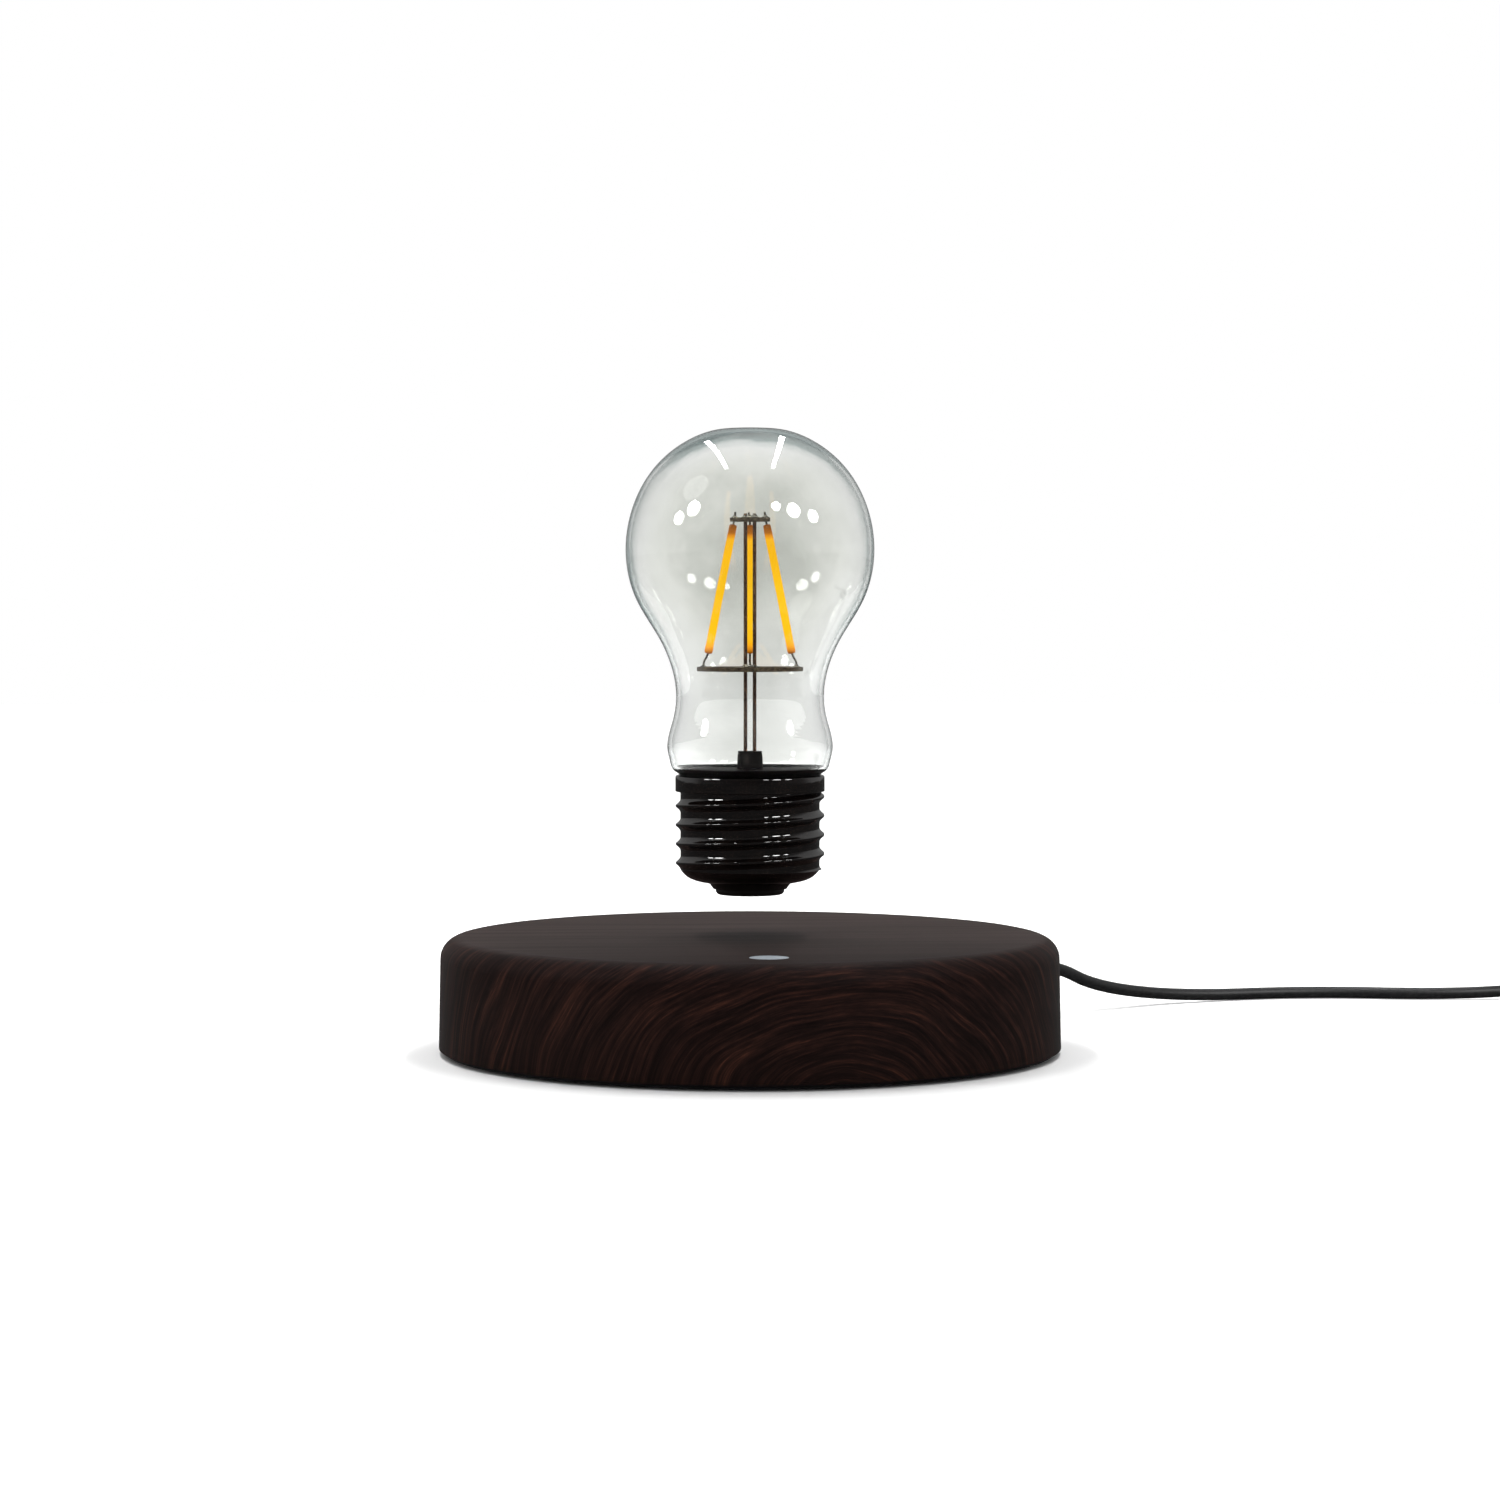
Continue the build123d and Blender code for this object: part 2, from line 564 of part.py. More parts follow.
def power_socket():
    middle = (SOCKET_FRONT + SOCKET_BACK) / 2
    body = Pos(middle, 0, 0) * Box(SOCKET_LENGTH, SOCKET_WIDTH, SOCKET_WIDTH)
    body = fillet(body.edges().filter_by(Axis.X).group_by(Axis.Z)[-1], SOCKET_CORNER)
    mouth = SOCKET_FACE - SOCKET_NOSE_SINK
    body += along_x(SOCKET_NOSE_RADIUS, SOCKET_FRONT, mouth)
    body -= along_x(SOCKET_BORE, mouth - SOCKET_BORE_DEPTH, mouth + CUT_OVER)
    body += along_x(PIN_RADIUS, mouth - SOCKET_BORE_DEPTH, mouth - SOCKET_BORE_DEPTH + PIN_LENGTH)
    return outward(body)


def power_plug_barrel():
    body = along_x(BARREL_RADIUS, PLUG_START - BARREL_LENGTH, PLUG_START)
    body -= along_x(PIN_RADIUS + PLUG_GAP, PLUG_START - BARREL_LENGTH - CUT_OVER, PLUG_START + CUT_OVER)
    return outward(body)


def power_plug():
    body = along_x(PLUG_RADIUS, PLUG_START, RELIEF_START)
    body = fillet(body.edges().filter_by(GeomType.CIRCLE), PLUG_ROUND)
    grip_start = PLUG_START + (PLUG_LENGTH - PLUG_GRIP_LENGTH) / 2
    for angle in angles(PLUG_GRIP_COUNT, 0):
        groove = Pos(0, 0, PLUG_RADIUS) * along_x(PLUG_GRIP_RADIUS, grip_start, grip_start + PLUG_GRIP_LENGTH)
        body -= Rot(angle, 0, 0) * groove
    return outward(body)


def plug_relief():
    body = Pos(RELIEF_START, 0, 0) * Rot(0, 90, 0) * Cone(
        RELIEF_WIDE, RELIEF_NARROW, RELIEF_LENGTH, align=(Align.CENTER, Align.CENTER, Align.MIN))
    step = RELIEF_LENGTH / (RELIEF_GROOVES + 1)
    for i in range(RELIEF_GROOVES):
        middle = RELIEF_START + step * (i + 1)
        here = RELIEF_WIDE + (RELIEF_NARROW - RELIEF_WIDE) * (i + 1) / (RELIEF_GROOVES + 1)
        for side in (-1, 1):
            slot = Box(RELIEF_GROOVE_WIDTH, RELIEF_WIDE * 2 + CUT_OVER, RELIEF_WIDE)
            turn = Rot(90 * (i % 2), 0, 0)
            level = here - RELIEF_GROOVE_DEPTH + RELIEF_WIDE / 2
            body -= turn * Pos(middle, 0, side * level) * slot
    return outward(body)


# Bulb, in its own frame: levels are counted from the contact

def glass_path():
    """Radius and level of the glass outside, from the crown down to the mouth."""
    rise = BULB_HEIGHT - GLOBE_CENTRE
    points = [(0, BULB_HEIGHT)]
    points += [(GLOBE_RADIUS * r, GLOBE_CENTRE + rise * z) for r, z in CROWN_SHARES]
    points.append((GLOBE_RADIUS, GLOBE_CENTRE))
    steps = [
        (GLOBE_RADIUS, GLOBE_CENTRE, NECK_RADIUS, NECK_LEVEL, SLOPE_SHARES),
        (NECK_RADIUS, NECK_LEVEL, FLARE_RADIUS, FLARE_LEVEL, FLARE_SHARES),
        (FLARE_RADIUS, FLARE_LEVEL, MOUTH_RADIUS, MOUTH_TOP_LEVEL, TUCK_SHARES),
    ]
    for r0, z0, r1, z1, shares in steps:
        points += [(r0 + (r1 - r0) * r, z0 + (z1 - z0) * z) for r, z in shares]
        points.append((r1, z1))
    return points


def glass_body(inset):
    """The solid inside the glass outline, drawn in by an even inset."""
    path = Spline(*glass_path(), tangents=[(1, 0), (0, -1)])
    drawn = []
    count = len(glass_path()) * 2
    for i in range(count + 1):
        share = i / count
        point = path @ share
        way = path % share
        drawn.append((max(point.X + way.Y * inset, 0), point.Y - way.X * inset))
    drawn[0] = (0, BULB_HEIGHT - inset)
    mouth = MOUTH_RADIUS - inset
    low = MOUTH_LEVEL - (CUT_OVER if inset else 0)
    drawn[-1] = (mouth, MOUTH_TOP_LEVEL)
    side = Spline(*drawn, tangents=[(1, 0), (0, -1)])
    closing = Polyline((mouth, MOUTH_TOP_LEVEL), (mouth, low), (0, low), (0, BULB_HEIGHT - inset))
    return revolve(make_face(Plane.XZ * (side + closing)), Axis.Z)


def glass_envelope():
    return glass_body(0) - glass_body(GLASS_WALL)


def thread_flank(radius):
    """Half the thread's width at a radius: the flank is a hollow arc that runs out into the root."""
    hollow = (THREAD_FLANK ** 2 + THREAD_DEPTH ** 2) / (2 * THREAD_DEPTH)
    wide = THREAD_LAND / 2 + THREAD_FLANK
    return wide - sqrt(hollow ** 2 - (THREAD_ROOT + hollow - radius) ** 2)


def threaded_barrel():
    """The cap's barrel: one right-handed ridge that runs out at both ends, on a core."""
    start = SHOULDER_LEVEL - THREAD_PITCH / 2
    run = COLLAR_LEVEL - SHOULDER_LEVEL + THREAD_PITCH
    foot = THREAD_ROOT + THREAD_FOOT_BLEND
    middle = (THREAD_ROOT + THREAD_CREST) / 2
    inside = THREAD_ROOT - THREAD_SINK
    land, waist, wide = THREAD_LAND / 2, thread_flank(middle), thread_flank(foot)
    upper = ThreePointArc((THREAD_CREST, start + land), (middle, start + waist), (foot, start + wide))
    lower = ThreePointArc((foot, start - wide), (middle, start - waist), (THREAD_CREST, start - land))
    crest = Line((THREAD_CREST, start - land), (THREAD_CREST, start + land))
    base = Polyline(
        (foot, start + wide), (inside, start + wide), (inside, start - wide), (foot, start - wide))
    section = make_face(Plane.XZ * (upper + base + lower + crest))
    route = Helix(THREAD_PITCH, run, THREAD_CREST, center=(0, 0, start))
    ridge = sweep(section, path=route, is_frenet=True)
    core = disc(THREAD_ROOT + THREAD_BLEND, start - THREAD_PITCH, start + run + THREAD_PITCH)
    barrel = (core + ridge) & disc(COLLAR_RADIUS, SHOULDER_LEVEL, COLLAR_LEVEL)
    return Rot(0, 0, THREAD_AZIMUTH) * barrel


def screw_cap():
    body = threaded_barrel()
    collar = disc(COLLAR_RADIUS, COLLAR_LEVEL, COLLAR_TOP_LEVEL)
    body += fillet(collar.edges().group_by(Axis.Z)[-1], COLLAR_ROUND)
    waist = (THREAD_ROOT - SHOULDER_WAIST_INSET, SHOULDER_WAIST_LEVEL)
    side = ThreePointArc((THREAD_ROOT, SHOULDER_LEVEL), waist, (INSULATOR_RADIUS, SHOULDER_END_LEVEL))
    rest = Polyline((INSULATOR_RADIUS, SHOULDER_END_LEVEL), (0, SHOULDER_END_LEVEL), (0, SHOULDER_LEVEL),
                    (THREAD_ROOT, SHOULDER_LEVEL))
    body += revolve(make_face(Plane.XZ * (side + rest)), Axis.Z)
    body -= disc(INSULATOR_NECK + INSULATOR_FIT, 0, CAP_FLOOR_LEVEL + CUT_OVER)
    body -= disc(DRIVER_BORE, CAP_FLOOR_LEVEL, DRIVER_LEVEL + CUT_OVER)
    body -= disc(LEDGE_BORE, DRIVER_LEVEL, LID_LEDGE_LEVEL + CUT_OVER)
    body -= disc(CAP_BORE, LID_LEDGE_LEVEL, COLLAR_TOP_LEVEL + CUT_OVER)
    body -= disc(MOUTH_RADIUS + GLASS_SEAT_GAP, MOUTH_LEVEL, COLLAR_TOP_LEVEL + CUT_OVER)
    return body


def contact_insulator():
    under = SHOULDER_END_LEVEL - INSULATOR_PROUD
    body = revolve(outline([
        (0, under),
        (INSULATOR_RADIUS - INSULATOR_TAPER, under),
        (INSULATOR_RADIUS, SHOULDER_END_LEVEL),
        (INSULATOR_NECK, SHOULDER_END_LEVEL),
        (INSULATOR_NECK, CAP_FLOOR_LEVEL),
        (0, CAP_FLOOR_LEVEL),
    ]), Axis.Z)
    return body


def centre_contact():
    top = SHOULDER_END_LEVEL - INSULATOR_PROUD
    body = disc(CONTACT_RADIUS, top - CONTACT_THICK, top)
    return fillet(body.edges().group_by(Axis.Z)[0], CONTACT_ROUND)


def receiver_coil():
    return ring(RECEIVER_OUTER, RECEIVER_INNER, CAP_FLOOR_LEVEL, CAP_FLOOR_LEVEL + RECEIVER_THICK)


def bulb_magnet():
    low = CAP_FLOOR_LEVEL + RECEIVER_THICK + BULB_MAGNET_LIFT
    body = disc(DRIVER_BORE - BULB_MAGNET_GAP, low, low + BULB_MAGNET_HEIGHT)
    return chamfer(body.edges().filter_by(GeomType.CIRCLE), BULB_MAGNET_CHAMFER)


def driver_board():
    top = DRIVER_LEVEL + DRIVER_THICK
    board = disc(LEDGE_BORE - DRIVER_GAP, DRIVER_LEVEL, top)
    rectifier = block(RECTIFIER_WIDTH, RECTIFIER_DEPTH, top, top + RECTIFIER_THICK)
    capacitor = disc(CAPACITOR_RADIUS, top, top + CAPACITOR_HEIGHT)
    cans = [Pos(0, side * CAPACITOR_OFFSET, 0) * capacitor for side in (-1, 1)]
    return group([board, rectifier, *cans])


def cap_lid():
    plug_radius = CAP_BORE - LID_PLUG_GAP
    top_radius = MOUTH_RADIUS - GLASS_WALL - LID_GLASS_GAP
    body = disc(plug_radius, LID_LEDGE_LEVEL, MOUTH_LEVEL)
    body += disc(min(top_radius, plug_radius), MOUTH_LEVEL, LID_TOP_LEVEL - LID_THICK)
    rim = disc(top_radius, LID_TOP_LEVEL - LID_THICK, LID_TOP_LEVEL)
    body += fillet(rim.edges().group_by(Axis.Z)[-1], LID_ROUND)
    body -= disc(plug_radius - LID_WALL, LID_LEDGE_LEVEL - CUT_OVER, LID_TOP_LEVEL - LID_THICK)
    body += Pos(0, 0, LID_TOP_LEVEL) * Cone(
        BOSS_WIDE, BOSS_NARROW, BOSS_HEIGHT, align=(Align.CENTER, Align.CENTER, Align.MIN))
    boss_top = LID_TOP_LEVEL + BOSS_HEIGHT
    body -= block(BOSS_WIDE * 2 + CUT_OVER, BOSS_SLOT_WIDTH, boss_top - BOSS_SLOT_DEPTH, boss_top + CUT_OVER)
    for side in (-1, 1):
        bore = disc(ROD_RADIUS + ROD_GAP, LID_TOP_LEVEL - LID_THICK - CUT_OVER, boss_top + CUT_OVER)
        body -= Pos(side * ROD_OFFSET, 0, 0) * bore
    return body


def support_rods():
    low = LID_TOP_LEVEL - LID_THICK
    high = UPPER_DISC_LEVEL + UPPER_DISC_THICK + ROD_PROUD
    return group(Pos(side * ROD_OFFSET, 0, 0) * disc(ROD_RADIUS, low, high) for side in (-1, 1))


def lower_disc():
    top = LOWER_DISC_LEVEL + LOWER_DISC_THICK
    body = disc(LOWER_DISC_RADIUS, LOWER_DISC_LEVEL, top)
    for side in (-1, 1):
        hole = disc(ROD_RADIUS + ROD_GAP, LOWER_DISC_LEVEL - CUT_OVER, top + CUT_OVER)
        body -= Pos(side * ROD_OFFSET, 0, 0) * hole
    for angle in FILAMENT_SIDES.values():
        hole = disc(WIRE_RADIUS + WIRE_GAP, LOWER_DISC_LEVEL - CUT_OVER, top + CUT_OVER)
        body -= orbit(WIRE_FOOT_SPREAD, angle) * hole
    return body


def filament_lean():
    """How far a filament's axis goes out for each millimetre that it goes down."""
    return (FILAMENT_FOOT_SPREAD - FILAMENT_TOP_SPREAD) / (FILAMENT_TOP_LEVEL - FILAMENT_FOOT_LEVEL)


def top_wire_spread():
    """Radius at which a filament's top wire passes the middle of the upper disc."""
    climb = UPPER_DISC_LEVEL + UPPER_DISC_THICK / 2 - FILAMENT_TOP_LEVEL
    return FILAMENT_TOP_SPREAD - climb * filament_lean()


def upper_disc():
    top = UPPER_DISC_LEVEL + UPPER_DISC_THICK
    body = disc(UPPER_DISC_RADIUS, UPPER_DISC_LEVEL, top)
    for side in (-1, 1):
        hole = disc(ROD_RADIUS + ROD_GAP, UPPER_DISC_LEVEL - CUT_OVER, top + CUT_OVER)
        body -= Pos(side * ROD_OFFSET, 0, 0) * hole
    for angle in FILAMENT_SIDES.values():
        hole = disc(WIRE_RADIUS + WIRE_GAP * 2, UPPER_DISC_LEVEL - CUT_OVER, top + CUT_OVER)
        body -= orbit(top_wire_spread(), angle) * hole
    return body


def led_filament(angle):
    """One rod of light: it leans out from the upper disc to the lower one."""
    run = FILAMENT_FOOT_SPREAD - FILAMENT_TOP_SPREAD
    drop = FILAMENT_TOP_LEVEL - FILAMENT_FOOT_LEVEL
    body = disc(FILAMENT_RADIUS, 0, sqrt(run ** 2 + drop ** 2))
    body = fillet(body.edges().filter_by(GeomType.CIRCLE), FILAMENT_ROUND)
    lean = Rot(0, -degrees(atan2(run, drop)), 0)
    return Rot(0, 0, angle) * Pos(FILAMENT_FOOT_SPREAD, 0, FILAMENT_FOOT_LEVEL) * lean * body


def round_wire(path):
    """A wire of the lead's gauge along a path."""
    return sweep(Plane(path @ 0, z_dir=path % 0) * Circle(WIRE_RADIUS), path=path)


def filament_leads():
    lean = filament_lean()
    wires = []
    high = UPPER_DISC_LEVEL + UPPER_DISC_THICK + WIRE_PROUD
    top_end = FILAMENT_TOP_SPREAD - (high - FILAMENT_TOP_LEVEL) * lean
    upper = Line((FILAMENT_TOP_SPREAD, 0, FILAMENT_TOP_LEVEL), (top_end, 0, high))
    bend = FILAMENT_FOOT_LEVEL - WIRE_START
    lower = FilletPolyline(
        (FILAMENT_FOOT_SPREAD, 0, FILAMENT_FOOT_LEVEL),
        (FILAMENT_FOOT_SPREAD + WIRE_START * lean, 0, bend),
        (WIRE_FOOT_SPREAD, 0, bend - (WIRE_DROP - WIRE_START)),
        (WIRE_FOOT_SPREAD, 0, LOWER_DISC_LEVEL - WIRE_GAP),
        radius=WIRE_BEND,
    )
    for angle in FILAMENT_SIDES.values():
        wires += [Rot(0, 0, angle) * round_wire(upper), Rot(0, 0, angle) * round_wire(lower)]
    return group(wires)


def solder_cone(wire):
    """A cone of solder round a wire of that radius, standing on Z 0."""
    hole = wire + SOLDER_GAP
    return revolve(outline([
        (hole, 0),
        (wire + SOLDER_RADIUS, 0),
        (hole + SOLDER_TIP, SOLDER_HEIGHT),
        (hole, SOLDER_HEIGHT),
    ]), Axis.Z)


def solder_joints():
    joints = []
    for level in (LOWER_DISC_LEVEL + LOWER_DISC_THICK, UPPER_DISC_LEVEL + UPPER_DISC_THICK):
        joints += [Pos(side * ROD_OFFSET, 0, level) * solder_cone(ROD_RADIUS) for side in (-1, 1)]
    lower_top = LOWER_DISC_LEVEL + LOWER_DISC_THICK
    for angle in FILAMENT_SIDES.values():
        joints.append(Pos(0, 0, lower_top) * orbit(WIRE_FOOT_SPREAD, angle) * solder_cone(WIRE_RADIUS))
    return group(joints)


# Lead

def lead_points():
    """The free run from the plug, down to the floor and on to the coil, in the turned frame."""
    out = radians(SOCKET_AZIMUTH)
    bend = LEAD_START + LEAD_STRAIGHT
    return [
        (LEAD_START * cos(out), LEAD_START * sin(out), SOCKET_HEIGHT),
        (bend * cos(out), bend * sin(out), SOCKET_HEIGHT),
        (92.0, 89.6, 6.0),
        (117.0, 107.5, CORD_FLOOR),
        (153.0, 119.5, CORD_FLOOR),
        (190.0, 112.0, CORD_FLOOR),
        (215.0, COIL_CENTRE_Y + COIL_OUTER, COIL_FLOOR),
        (COIL_CENTRE_X - CORD_DIAMETER, COIL_CENTRE_Y + COIL_OUTER, COIL_FLOOR),
    ]


def coil_place(turns):
    """Point on the coil after so many turns, wound clockwise: in, up a layer where it reverses, out."""
    climb = min(max((turns - COIL_TURNS_IN) / COIL_CLIMB + 0.5, 0), 1)
    radius = COIL_INNER + COIL_PITCH * abs(COIL_TURNS_IN - turns)
    angle = radians(COIL_AZIMUTH) - 2 * pi * turns
    level = COIL_FLOOR + COIL_PITCH * climb * climb * (3 - 2 * climb)
    return Vector(COIL_CENTRE_X + radius * cos(angle), COIL_CENTRE_Y + radius * sin(angle), level)


def coil_way(turns):
    """Direction of the coil there, level and square to its radius."""
    angle = radians(COIL_AZIMUTH) - 2 * pi * turns
    return Vector(sin(angle), -cos(angle), 0)


def biarc(start, start_way, end, end_way):
    """Two tangent arcs from one point and direction to another."""
    chord = end - start
    ways = start_way + end_way
    spare = 1 - start_way.dot(end_way)
    reach = chord.dot(ways)
    size = (sqrt(reach ** 2 + 2 * spare * chord.dot(chord)) - reach) / (2 * spare)
    middle = (start + end + (start_way - end_way) * size) / 2
    first = TangentArc(start, middle, tangent=start_way)
    second = TangentArc(end, middle, tangent=end_way * -1)
    return [first, Edge.make_tangent_arc(middle, first % 1, end)]


def coil_path():
    """The coil's centreline: a straight diameter, biarcs of a quarter turn each, a straight diameter."""
    total = COIL_TURNS_IN + COIL_TURNS_OUT
    quarters = round(total * 4)
    start, end = coil_place(0), coil_place(total)
    pieces = [Line(start - coil_way(0) * CORD_DIAMETER, start)]
    for i in range(quarters):
        here, there = i / 4, (i + 1) / 4
        pieces += biarc(coil_place(here), coil_way(here), coil_place(there), coil_way(there))
    pieces.append(Line(end, end + coil_way(total) * CORD_DIAMETER))
    return Wire([piece.edge() for piece in pieces])


def tail_points():
    """From the coil's last turn to the far plug, beside the coil."""
    total = COIL_TURNS_IN + COIL_TURNS_OUT
    start = coil_place(total) + coil_way(total) * CORD_DIAMETER
    third = TAIL_LENGTH / 3
    return [
        (start.X, start.Y, start.Z),
        (start.X, start.Y - third, start.Z),
        (start.X + TAIL_SHIFT, start.Y - third * 2, USB_LEVEL),
        (start.X + TAIL_SHIFT, start.Y - TAIL_LENGTH, USB_LEVEL),
    ]


def corner_radii(points):
    """Each arc takes the same share of its shorter run."""
    radii = []
    for before, here, after in zip(points, points[1:], points[2:]):
        into = Vector(*here) - Vector(*before)
        away = Vector(*after) - Vector(*here)
        turn = radians(into.get_angle(away))
        radii.append(ARC_SHARE * min(into.length, away.length) / tan(turn / 2))
    return radii


def cord_tube(path):
    """The cord's round section along a path."""
    return sweep(Plane(path @ 0, z_dir=path % 0) * Circle(CORD_DIAMETER / 2), path=path)


def free_stretch(points):
    """A stretch of cord along straight runs and tangent arcs, and its length."""
    radii = corner_radii(points)
    path = FilletPolyline(*points, radius=radii)
    print("arc radii:", [round(radius, 1) for radius in radii])
    return cord_tube(path.wire()), path.length


def coil_tie():
    """A flat band round the bundle of turns, across the coil's radius."""
    inner_low = COIL_INNER - CORD_DIAMETER / 2 - TIE_INNER_GAP
    inner_high = COIL_OUTER + CORD_DIAMETER / 2 + TIE_GAP
    low = COIL_FLOOR - CORD_DIAMETER / 2 - TIE_GAP
    high = COIL_FLOOR + COIL_PITCH + CORD_DIAMETER / 2 + TIE_GAP
    middle = (inner_low + inner_high) / 2
    hole = Rectangle(inner_high - inner_low, high - low)
    hole = fillet(hole.vertices(), TIE_ROUND)
    band = offset(hole, TIE_THICK) - hole
    body = extrude(Plane.XZ * band, TIE_WIDTH / 2, both=True)
    place = Pos(COIL_CENTRE_X, COIL_CENTRE_Y, (low + high) / 2)
    return place * Rot(0, 0, TIE_AZIMUTH) * Pos(middle, 0, 0) * body


def tail_end():
    """Where the far plug's strain relief begins."""
    return Vector(*tail_points()[-1])


def usb_relief():
    end = tail_end()
    cone = Cone(
        USB_RELIEF_NARROW, USB_RELIEF_WIDE, USB_RELIEF_LENGTH,
        align=(Align.CENTER, Align.CENTER, Align.MIN))
    return Pos(end.X, end.Y, end.Z) * Rot(90, 0, 0) * cone


def usb_plug_body():
    end = tail_end()
    body = Box(USB_WIDTH, USB_LENGTH, USB_HEIGHT, align=(Align.CENTER, Align.MAX, Align.CENTER))
    body = fillet(body.edges().filter_by(Axis.Y), USB_ROUND)
    body = fillet(body.edges().group_by(Axis.Y)[-1], USB_ROUND / 2)
    pocket = Box(
        USB_SHELL_WIDTH, USB_SHELL_ROOT, USB_SHELL_HEIGHT, align=(Align.CENTER, Align.MIN, Align.CENTER))
    body -= Pos(0, -USB_LENGTH, 0) * pocket
    return Pos(end.X, end.Y - USB_RELIEF_LENGTH, end.Z) * body


def usb_shell_place():
    end = tail_end()
    return Pos(end.X, end.Y - USB_RELIEF_LENGTH - USB_LENGTH + USB_SHELL_ROOT, end.Z)


def usb_plug_shell():
    length = USB_SHELL_LENGTH + USB_SHELL_ROOT
    body = Box(USB_SHELL_WIDTH, length, USB_SHELL_HEIGHT, align=(Align.CENTER, Align.MAX, Align.CENTER))
    inside_width = USB_SHELL_WIDTH - USB_SHELL_WALL * 2
    inside_height = USB_SHELL_HEIGHT - USB_SHELL_WALL * 2
    inside = Box(inside_width, length + CUT_OVER, inside_height, align=(Align.CENTER, Align.MAX, Align.CENTER))
    return usb_shell_place() * (body - Pos(0, -USB_SHELL_WALL, 0) * inside)


def usb_plug_tongue():
    width = USB_SHELL_WIDTH - USB_SHELL_WALL * 2 - USB_TONGUE_GAP
    length = USB_SHELL_LENGTH + USB_SHELL_ROOT - USB_SHELL_WALL - USB_TONGUE_SINK
    body = Box(width, length, USB_TONGUE_HEIGHT, align=(Align.CENTER, Align.MAX, Align.MAX))
    top = USB_SHELL_HEIGHT / 2 - USB_SHELL_WALL
    return usb_shell_place() * Pos(0, -USB_SHELL_WALL, top) * body


def least_gap(line, steps):
    """Least distance between the tube's surfaces at places over half a loop apart along its line."""
    places = [tuple(point) for point in line.positions([i / steps for i in range(steps + 1)])]
    apart = round(steps * pi * COIL_INNER / line.length)
    return min(dist(a, b) for i, a in enumerate(places) for b in places[i + apart:]) - CORD_DIAMETER


base_nodes = {
    "base_housing": base_housing,
    "base_bottom_cover": base_bottom_cover,
    "cover_screws": cover_screws,
    "rubber_feet": rubber_feet,
    "touch_lens": touch_lens,
    "touch_board": touch_board,
    "touch_board_screws": touch_board_screws,
    "board_spacers": board_spacers,
    "main_board": main_board,
    "board_screws": board_screws,
    "board_parts": board_parts,
    "ring_magnet": ring_magnet,
    "coil_bobbins": coil_bobbins,
    "coil_cores": coil_cores,
    "steering_coils": steering_coils,
    "hall_sensor_board": hall_sensor_board,
    "power_coil": power_coil,
    "power_socket": power_socket,
    "power_plug_barrel": power_plug_barrel,
    "power_plug": power_plug,
    "plug_relief": plug_relief,
}
bulb_nodes = {
    "glass_envelope": glass_envelope,
    "screw_cap": screw_cap,
    "contact_insulator": contact_insulator,
    "centre_contact": centre_contact,
    "receiver_coil": receiver_coil,
    "bulb_magnet": bulb_magnet,
    "driver_board": driver_board,
    "cap_lid": cap_lid,
    "support_rods": support_rods,
    "lower_disc": lower_disc,
    "upper_disc": upper_disc,
    "filament_leads": filament_leads,
    "solder_joints": solder_joints,
}
cord_end_nodes = {
    "coil_tie": coil_tie,
    "usb_relief": usb_relief,
    "usb_plug_body": usb_plug_body,
    "usb_plug_shell": usb_plug_shell,
    "usb_plug_tongue": usb_plug_tongue,
}

for name, make in base_nodes.items():
    export_step(make(), f"parts/{name}.step")

lift = Pos(0, 0, CONTACT_LEVEL)
for name, make in bulb_nodes.items():
    export_step(in_view(lift * make()), f"parts/{name}.step")
for name, angle in FILAMENT_SIDES.items():
    export_step(in_view(lift * led_filament(angle)), f"parts/led_filament_{name}.step")

for name, make in cord_end_nodes.items():
    export_step(in_view(make()), f"parts/{name}.step")

stretches = {"lead_run": lead_points(), "lead_tail": tail_points()}
section = pi * (CORD_DIAMETER / 2) ** 2
for name, points in stretches.items():
    tube, length = free_stretch(points)
    print(name, "length", round(length, 1), "volume over section", round(tube.volume / section, 1))
    export_step(in_view(tube), f"parts/{name}.step")

coil_line = coil_path()
coil = cord_tube(coil_line)
print("lead_coil length", round(coil_line.length, 1), "volume over section", round(coil.volume / section, 1))
print("coil's least gap to itself", round(least_gap(coil_line, 800), 2))
export_step(in_view(coil), "parts/lead_coil.step")
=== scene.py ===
import math
import random

import bmesh
import bpy
import numpy as np
from mathutils import Matrix, Vector


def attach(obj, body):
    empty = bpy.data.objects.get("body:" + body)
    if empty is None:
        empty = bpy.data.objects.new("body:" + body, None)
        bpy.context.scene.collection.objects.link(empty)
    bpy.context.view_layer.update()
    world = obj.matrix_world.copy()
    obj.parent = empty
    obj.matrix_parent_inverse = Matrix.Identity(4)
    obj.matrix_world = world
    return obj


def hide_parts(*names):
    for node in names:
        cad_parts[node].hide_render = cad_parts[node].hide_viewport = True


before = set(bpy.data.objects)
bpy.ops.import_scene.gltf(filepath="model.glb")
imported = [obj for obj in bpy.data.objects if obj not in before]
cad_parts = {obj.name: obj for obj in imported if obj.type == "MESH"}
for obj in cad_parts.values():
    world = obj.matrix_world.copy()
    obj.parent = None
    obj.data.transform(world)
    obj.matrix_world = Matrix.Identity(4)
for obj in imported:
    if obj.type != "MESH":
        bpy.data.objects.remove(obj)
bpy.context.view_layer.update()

# A levitating lamp, in the order it is put together: base, lead, bulb, then the studio.
# The bulb and the lead stand turned a little about Z against the base, so their own points are
# written in that turned frame, in millimetres.
MM = 0.001
view_angle = math.radians(-4.5)
view_turn = Matrix.Rotation(view_angle, 4, "Z")


